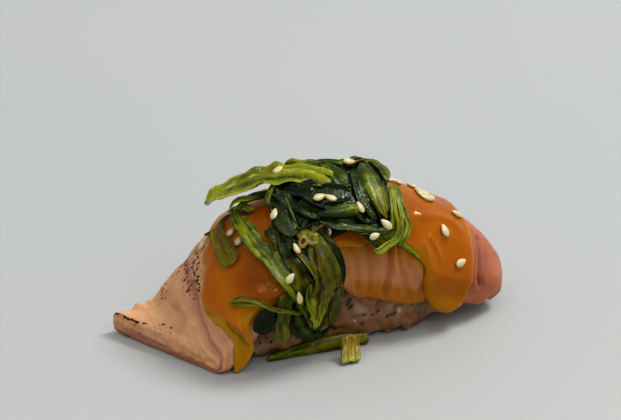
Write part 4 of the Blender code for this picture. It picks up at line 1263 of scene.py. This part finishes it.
spread = vectors(tree, "SCALE", stored(tree, "side", "FLOAT_VECTOR"), across)
raised = vectors(tree, "SCALE", stored(tree, "facing", "FLOAT_VECTOR"), rise)
waved = vectors(tree, "SCALE", stored(tree, "way_up", "FLOAT_VECTOR"), wave)
pressed = vectors(tree, "ADD", stored(tree, "rail", "FLOAT_VECTOR"), spread)
pressed = vectors(tree, "ADD", pressed, vectors(tree, "ADD", raised, waved))
shaped = node(tree, "GeometryNodeSetPosition", {"Geometry": swept.outputs[0], "Position": pressed})
smooth = node(tree, "GeometryNodeSetShadeSmooth", {"Geometry": shaped.outputs[0]})
real = node(tree, "GeometryNodeRealizeInstances", {"Geometry": smooth.outputs[0]})
painted = node(tree, "GeometryNodeSetMaterial", {"Geometry": real.outputs[0],
                                                 "Material": given["Paint"]})
link(tree, painted.outputs[0], made)
strand_tree = tree


def swept_strands(name, rails, material):
    """One piece of all these strands, swept along their rails by the geometry tree."""
    mesh = bpy.data.meshes.new(name)
    firsts = np.cumsum([0] + [len(rail["rail"]) for rail in rails])
    edges = [(i, i + 1) for start, end in zip(firsts, firsts[1:]) for i in range(start, end - 1)]
    mesh.from_pydata(np.concatenate([rail["rail"] for rail in rails]).tolist(), edges, [])
    for label in rails[0]:
        values = np.concatenate([rail[label] for rail in rails]).astype(np.float32)
        kind, field = ("FLOAT", "value") if values.ndim == 1 else ("FLOAT_VECTOR", "vector")
        mesh.attributes.new(label, kind, "POINT").data.foreach_set(field, values.ravel())
    base = bpy.data.objects.new(name, mesh)
    scene.collection.objects.link(base)
    return tidied(baked(name, base, strand_tree, Sides=STRAND_SIDES, Paint=material))


strands = swept_strands("seaweed_strands", rails, weed_paint)
for piece in (heart, strands):
    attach(piece, "root")
    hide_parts("seaweed")

# ---------------------------------------------------------------------------------------------
# Stem and yellow strip
# A limp flat stem that has slid down and leans on its edge against the foot of the rice, and a
# short cut strip of yellow pickled stalk, torn at both ends, that stands against it.
# ---------------------------------------------------------------------------------------------

STEM_PATH = ((-13.2, -11.6, 1.0), (-11.6, -11.8, 1.3), (-7.4, -11.9, 2.0), (-3.0, -12.1, 2.6),
             (1.6, -12.3, 2.5), (6.2, -12.1, 1.9))
STEM_LEAN = 0.35
STEM_THICK = 1.0
STRIP_TOP = (1.5, -15.0, 4.1)
STRIP_FOOT = (0.4, -17.6, 0.5)
STRIP_SIZE = (3.5, 1.0)
STRIP_CUTS = (44, 60, 8)

t = np.linspace(0, 1, 44)
path = curve(STEM_PATH, t)
tall = path[:, 2] * (1 + 0.12 * lumps(path, 4.0)) * np.sqrt(np.clip(t / 0.08, 0.08, 1))
run = t * np.linalg.norm(np.diff(path, axis=0), axis=1).sum()
up_way = unit(np.array((0.0, STEM_LEAN, 1.0)) + np.zeros((len(t), 3)))
out_way = unit(np.cross(np.gradient(path, axis=0) * (1, 1, 0), up_way))
rail = np.stack((path[:, 0], path[:, 1] + STEM_LEAN * tall / 2, tall / 2 + 0.25), 1) * MM
rail += out_way * (0.15 * lumps(path, 2.5) * MM)[:, None]
stem_rail = {
    "rail": rail, "side": up_way * (tall / 2 * MM)[:, None],
    "facing": out_way * (STEM_THICK / 2 * MM), "way_up": out_way,
    "wave_one": 0.25 * MM * np.sin(run * 1.3), "wave_two": 0.15 * MM * np.sin(run * 1.9),
    "curl": np.full(len(t), -0.25 * MM), "rib": np.full(len(t), 0.12 * MM), "rib_shift": run * 0.1,
    "shade": 0.40 + 0.05 * t, "brown": 0.2 + 0.1 * t, "run": run, "number": np.full(len(t), 300.0),
}
stem = swept_strands("seaweed_stem", [stem_rail], weed_paint)
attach(stem, "root")
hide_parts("stem")

strip_paint, tree, shader = paint("yellow pickled stalk", 0.22, Subsurface_Weight=0.35,
                                  Subsurface_Radius=(1.0, 0.8, 0.1), Subsurface_Scale=0.0012,
                                  Specular_Tint=(1.0, 1.0, 0.6, 1.0))
on_strip = carried(tree, "strip_place", "Vector")
threads = speckle(tree, 1.0, where=on_strip, stretch=(2.4, 0.35, 1.0), detail=3.0)
cloud = speckle(tree, 1.4 * MM, detail=2.0)
low_down = node(tree, "ShaderNodeSeparateXYZ", {0: on_strip}).outputs[1]
yellow = many_tones(tree, threads, ((0.30, tone(92, 70, 0)), (0.5, tone(128, 102, 0)),
                                    (0.62, tone(156, 130, 2)), (0.75, tone(204, 190, 84))))
yellow = mixed(tree, level(tree, cloud, 0.5, 0.75, 0.0, 0.5), yellow, tone(172, 122, 0))
yellow = mixed(tree, level(tree, low_down, 1.6, 0.2, 0.0, 0.8), yellow, tone(130, 132, 10))
tree.links.new(yellow, shader.inputs["Base Color"])
embossed(tree, shader, threads, 0.25 * MM, 0.9)

shares, faces = box_shell(STRIP_CUTS)
foot, upper = np.array(STRIP_FOOT), np.array(STRIP_TOP)
tall = np.linalg.norm(upper - foot)
size = np.array((STRIP_SIZE[0], tall, STRIP_SIZE[1]))
block = rounded(shares * size, size, 0.28)
way_up = (upper - foot) / tall
way_side = np.array((1.0, 0.0, 0.0))
way_out = np.cross(way_side, way_up)
from_middle = block[:, 0] - STRIP_SIZE[0] / 2
ridges = 0.10 * np.sin(from_middle * 5.2) + 0.16 * lumps(block * (1.0, 0.3, 0.3), 0.8, 4.0)
torn = smooth_step((block[:, 1] - tall + 0.9) / 0.9) - smooth_step((0.9 - block[:, 1]) / 0.9)
along = block[:, 1] + torn * (0.45 * lumps(block * (1.0, 0.2, 0.3), 0.9, 2.0) + 0.1)
waist = 1 + 0.07 * np.sin(along * 1.6) + 0.04 * lumps(block, 1.2, 6.0)
bow = 0.35 * (along / tall) * (1 - along / tall) * 4
face_sign = np.sign(block[:, 2] - STRIP_SIZE[1] / 2)
high = block[:, 2] - STRIP_SIZE[1] / 2 + bow + ridges * face_sign * 0.8
places = (foot + way_side * (from_middle * waist)[:, None] + way_up * along[:, None]
          - way_out * high[:, None]) * MM
places[:, 2] = np.maximum(places[:, 2], 0.12 * MM)
strip = tidied(new_piece("yellow_strip", places, faces, strip_paint, {"strip_place": block}))
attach(strip, "root")
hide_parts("strip")

# ---------------------------------------------------------------------------------------------
# Sesame seeds
# Toasted white sesame, each a flat drop 3 mm long, strewn by hand last of all. They lie flat on
# whatever they fell on and stick there.
# ---------------------------------------------------------------------------------------------

SEED_SIZE = (2.45, 1.6, 0.9)
# Where the seeds in view lie: along and across the slice, and how far each is turned in degrees
SEEDS = (
    (0.618, 0.256, 20), (0.626, 0.225, 70), (0.650, 0.195, 95), (0.657, 0.07, 10),
    (0.664, 0.02, 150), (0.652, 0.01, 60), (0.657, -0.10, 160), (0.672, -0.06, 40),
    (0.723, -0.27, 150), (0.667, -0.594, 88), (0.708, -0.883, 15), (0.292, -0.97, 40),
    (0.273, -1.10, 100), (0.432, 0.43, 20), (0.395, 0.50, 40),
    (0.492, 0.375, 5), (0.512, 0.05, 0), (0.438, -0.44, 120), (0.423, -0.41, 20),
    (0.352, -0.39, 95), (0.468, -0.60, 92), (0.512, -0.73, 130), (0.338, -0.80, 95), (0.300, -0.19, 50),
    (0.305, 0.03, 35), (0.416, 0.20, 30), (0.480, -0.84, 10), (0.300, 0.60, 120),
    (0.290, 0.56, 60), (0.275, 0.52, 40),
)
BACK_SEEDS = 26
BACK_SEED_CHANCE = 5
# A split husk with a browned hollow
HUSK_SIZE = (2.2, 1.6, 0.9)
HUSK_PLACE = (0.355, -0.775, 70)

seed_paint, tree, shader = paint("toasted sesame", 0.38, Subsurface_Weight=0.25,
                                 Subsurface_Radius=(1.0, 0.8, 0.5), Subsurface_Scale=0.0008)
cloud = speckle(tree, 1.6 * MM, detail=2.0)
grain = speckle(tree, 0.3 * MM, detail=2.0)
cream = mixed(tree, carried(tree, "toasted"), tone(200, 190, 150), tone(196, 174, 122))
cream = mixed(tree, level(tree, cloud, 0.45, 0.75, 0.0, 0.6), cream, tone(196, 172, 116))
cream = mixed(tree, level(tree, grain, 0.5, 0.8, 0.0, 0.4), cream, tone(220, 212, 182))
tree.links.new(cream, shader.inputs["Base Color"])
embossed(tree, shader, grain, 0.06 * MM, 0.7)

bm = bmesh.new()
bmesh.ops.create_uvsphere(bm, u_segments=12, v_segments=8, radius=1)
for vertex in bm.verts:
    along, side, high = vertex.co.z, vertex.co.x, vertex.co.y
    drop = 1 - 0.42 * smooth_step((along + 0.5) / 1.6)
    vertex.co = Vector((along * SEED_SIZE[0], side * drop * SEED_SIZE[1],
                        high * (0.5 + 0.5 * drop) * SEED_SIZE[2])) * MM / 2
bmesh.ops.recalc_face_normals(bm, faces=bm.faces)
seed_mesh = bpy.data.meshes.new("sesame_seed")
bm.to_mesh(seed_mesh)
bm.free()
seed_mesh.shade_smooth()
one_seed = bpy.data.objects.new("sesame_seed", seed_mesh)

solids = bmesh.new()
for piece in (salmon, sauce, heart, strands):
    solids.from_mesh(piece.data)
landing = BVHTree.FromBMesh(solids)
solids.free()


def dropped(places, thick):
    """Where things thrown at these places on the slice land, and how each then lies."""
    landed, lie, face = [], [], []
    for u, v, turn in places:
        foot, way = (Vector(found[0]) for found in skin(np.array([u]), np.array([v])))
        hit = landing.ray_cast(foot + way * REACH * MM, -way, REACH * MM)
        if hit[0] is None:
            continue
        normal = hit[1] if hit[1].dot(way) > 0 else -hit[1]
        normal = (normal + way).normalized()
        along_way = Vector((math.cos(math.radians(turn)), 0, math.sin(math.radians(turn))))
        along_way = Vector((along_way.x, 0.4 * along_way.z, along_way.z))
        along_way = (along_way - normal * along_way.dot(normal)).normalized()
        landed.append(hit[0] + normal * thick * 0.36)
        lie.append(along_way)
        face.append(normal)
    return landed, lie, face


# Each seed is set on its point, turned the way it lies, a little larger or smaller by chance
tree, given, made = nodes_for("strewn seeds", Seed_shape="NodeSocketObject",
                              Chance="NodeSocketInt", Paint="NodeSocketMaterial")
turned = node(tree, "FunctionNodeAxesToRotation", {
    "Primary Axis": stored(tree, "lie", "FLOAT_VECTOR"),
    "Secondary Axis": stored(tree, "face", "FLOAT_VECTOR")}, primary_axis="X", secondary_axis="Z")
size = node(tree, "FunctionNodeRandomValue", {2: 0.85, 3: 1.1, "Seed": given["Chance"]},
            data_type="FLOAT")
shape = node(tree, "GeometryNodeObjectInfo", {"Object": given["Seed shape"]})
points = node(tree, "GeometryNodeMeshToPoints", {"Mesh": given["Geometry"]})
laid = node(tree, "GeometryNodeInstanceOnPoints", {
    "Points": points.outputs[0], "Instance": shape.outputs["Geometry"],
    "Rotation": turned.outputs[0], "Scale": size.outputs[1]})
any_tone = node(tree, "FunctionNodeRandomValue", {"Seed": 2}, data_type="FLOAT")
toned = node(tree, "GeometryNodeStoreNamedAttribute", {
    "Geometry": laid.outputs[0], "Name": "toasted", "Value": any_tone.outputs[1]},
    data_type="FLOAT", domain="INSTANCE")
real = node(tree, "GeometryNodeRealizeInstances", {"Geometry": toned.outputs[0]})
painted = node(tree, "GeometryNodeSetMaterial", {"Geometry": real.outputs[0],
                                                 "Material": given["Paint"]})
link(tree, painted.outputs[0], made)
scatter_tree = tree


def scattered(name, landed, shape, material, number):
    """One piece of the same small shape at each landing place."""
    places, lie, face = landed
    mesh = bpy.data.meshes.new(name)
    mesh.from_pydata(places, [], [])
    for label, values in (("lie", lie), ("face", face)):
        flat = np.array(values, np.float32).ravel()
        mesh.attributes.new(label, "FLOAT_VECTOR", "POINT").data.foreach_set("vector", flat)
    base = bpy.data.objects.new(name, mesh)
    scene.collection.objects.link(base)
    return baked(name, base, scatter_tree, Seed_shape=shape, Chance=number, Paint=material)


chance = np.random.default_rng(BACK_SEED_CHANCE)
back_places = [(chance.uniform(0.32, 0.72), chance.uniform(0.35, 1.15), chance.uniform(0, 180))
               for _ in range(BACK_SEEDS)]
seeds = scattered("sesame_seeds", dropped((*SEEDS, *back_places), SEED_SIZE[2] * MM), one_seed,
                  seed_paint, 1)
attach(seeds, "root")

husk_paint, tree, shader = paint("browned husk", 0.6, Subsurface_Weight=0.15, Specular_IOR_Level=0.15)
cloud = speckle(tree, 0.9 * MM, detail=2.0)
shell = mixed(tree, level(tree, cloud, 0.35, 0.65), tone(150, 134, 60), tone(118, 100, 32))
browned = level(tree, carried(tree, "browned"), 0.25, 0.6)
tree.links.new(mixed(tree, browned, shell, tone(84, 36, 2)), shader.inputs["Base Color"])
embossed(tree, shader, cloud, 0.1 * MM, 0.6)
bm = bmesh.new()
bmesh.ops.create_uvsphere(bm, u_segments=24, v_segments=14, radius=1)
bm.verts.ensure_lookup_table()
hollow = []
for vertex in bm.verts:
    out_from_middle = math.hypot(vertex.co.x, vertex.co.y)
    hollow.append(math.exp(-((out_from_middle / 0.55) ** 2)) if vertex.co.z > 0 else 0.0)
    vertex.co = Vector((vertex.co.x * HUSK_SIZE[0], vertex.co.y * HUSK_SIZE[1],
                        (vertex.co.z - 0.75 * hollow[-1]) * HUSK_SIZE[2])) * MM / 2
bmesh.ops.recalc_face_normals(bm, faces=bm.faces)
husk_mesh = bpy.data.meshes.new("husk")
bm.to_mesh(husk_mesh)
bm.free()
husk_mesh.attributes.new("browned", "FLOAT", "POINT").data.foreach_set("value", hollow)
husk_mesh.shade_smooth()
one_husk = bpy.data.objects.new("husk", husk_mesh)
husk = scattered("seed_husk", dropped((HUSK_PLACE,), HUSK_SIZE[2] * MM), one_husk, husk_paint, 3)
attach(husk, "root")

# ---------------------------------------------------------------------------------------------
# Burnt crumbs
# Flakes of black crust that the torch left, fallen on the rice below the slice. Each is a thin
# ragged chip, under a millimetre across.
# ---------------------------------------------------------------------------------------------

# Where the crumbs in front lie: along the rice, how high, how long and how far turned in degrees
CRUMBS = (
    (2.9, 8.8, 1.7, 62), (3.3, 7.7, 1.3, 50), (5.9, 5.5, 1.0, 10), (7.5, 5.3, 0.9, 0),
    (8.7, 5.4, 0.9, 20), (10.5, 4.4, 0.9, 30), (11.3, 4.6, 1.2, 0), (12.1, 4.7, 0.9, 160),
    (-0.4, 4.0, 1.5, 20), (0.4, 3.6, 1.3, 120), (-13.1, 4.7, 0.7, 0), (-12.1, 3.5, 0.9, 60),
    (-14.0, 3.3, 0.7, 100), (-15.2, 1.5, 0.8, 40), (-7.2, 3.5, 0.7, 0), (-5.8, 2.8, 0.8, 20),
)

crumb_paint, tree, shader = paint("burnt crust", 0.5)
grain = speckle(tree, 0.3 * MM, detail=2.0)
tree.links.new(mixed(tree, level(tree, grain, 0.4, 0.7), tone(16, 9, 5), tone(58, 32, 16)),
               shader.inputs["Base Color"])
embossed(tree, shader, grain, 0.1 * MM)

solids = bmesh.new()
for piece in (rice, stem, salmon, sauce):
    solids.from_mesh(piece.data)
landing = BVHTree.FromBMesh(solids)
solids.free()
crumb_mesh = bmesh.new()
for number, (x, z, long, turn) in enumerate(CRUMBS):
    hit = landing.ray_cast(Vector((x, -40, z)) * MM, Vector((0, 1, 0)))
    if hit[0] is None:
        continue
    normal = hit[1] if hit[1].y < 0 else -hit[1]
    spin = Matrix.Rotation(math.radians(turn), 4, normal)
    flat = normal.to_track_quat("Z", "Y").to_matrix().to_4x4()
    made = bmesh.ops.create_icosphere(crumb_mesh, subdivisions=2, radius=0.5)
    for vertex in made["verts"]:
        ragged = 1 + 0.55 * noise.noise(vertex.co * 3 + Vector((number * 7, 0, 0)))
        vertex.co = Vector((vertex.co.x * long, vertex.co.y * long * 0.45, vertex.co.z * 0.3)) * ragged
        vertex.co = hit[0] + (spin @ flat @ (vertex.co * MM)) + normal * 0.1 * MM
mesh = bpy.data.meshes.new("burnt_crumbs")
crumb_mesh.to_mesh(mesh)
crumb_mesh.free()
mesh.materials.append(crumb_paint)
crumbs = bpy.data.objects.new("burnt_crumbs", mesh)
scene.collection.objects.link(crumbs)
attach(crumbs, "root")
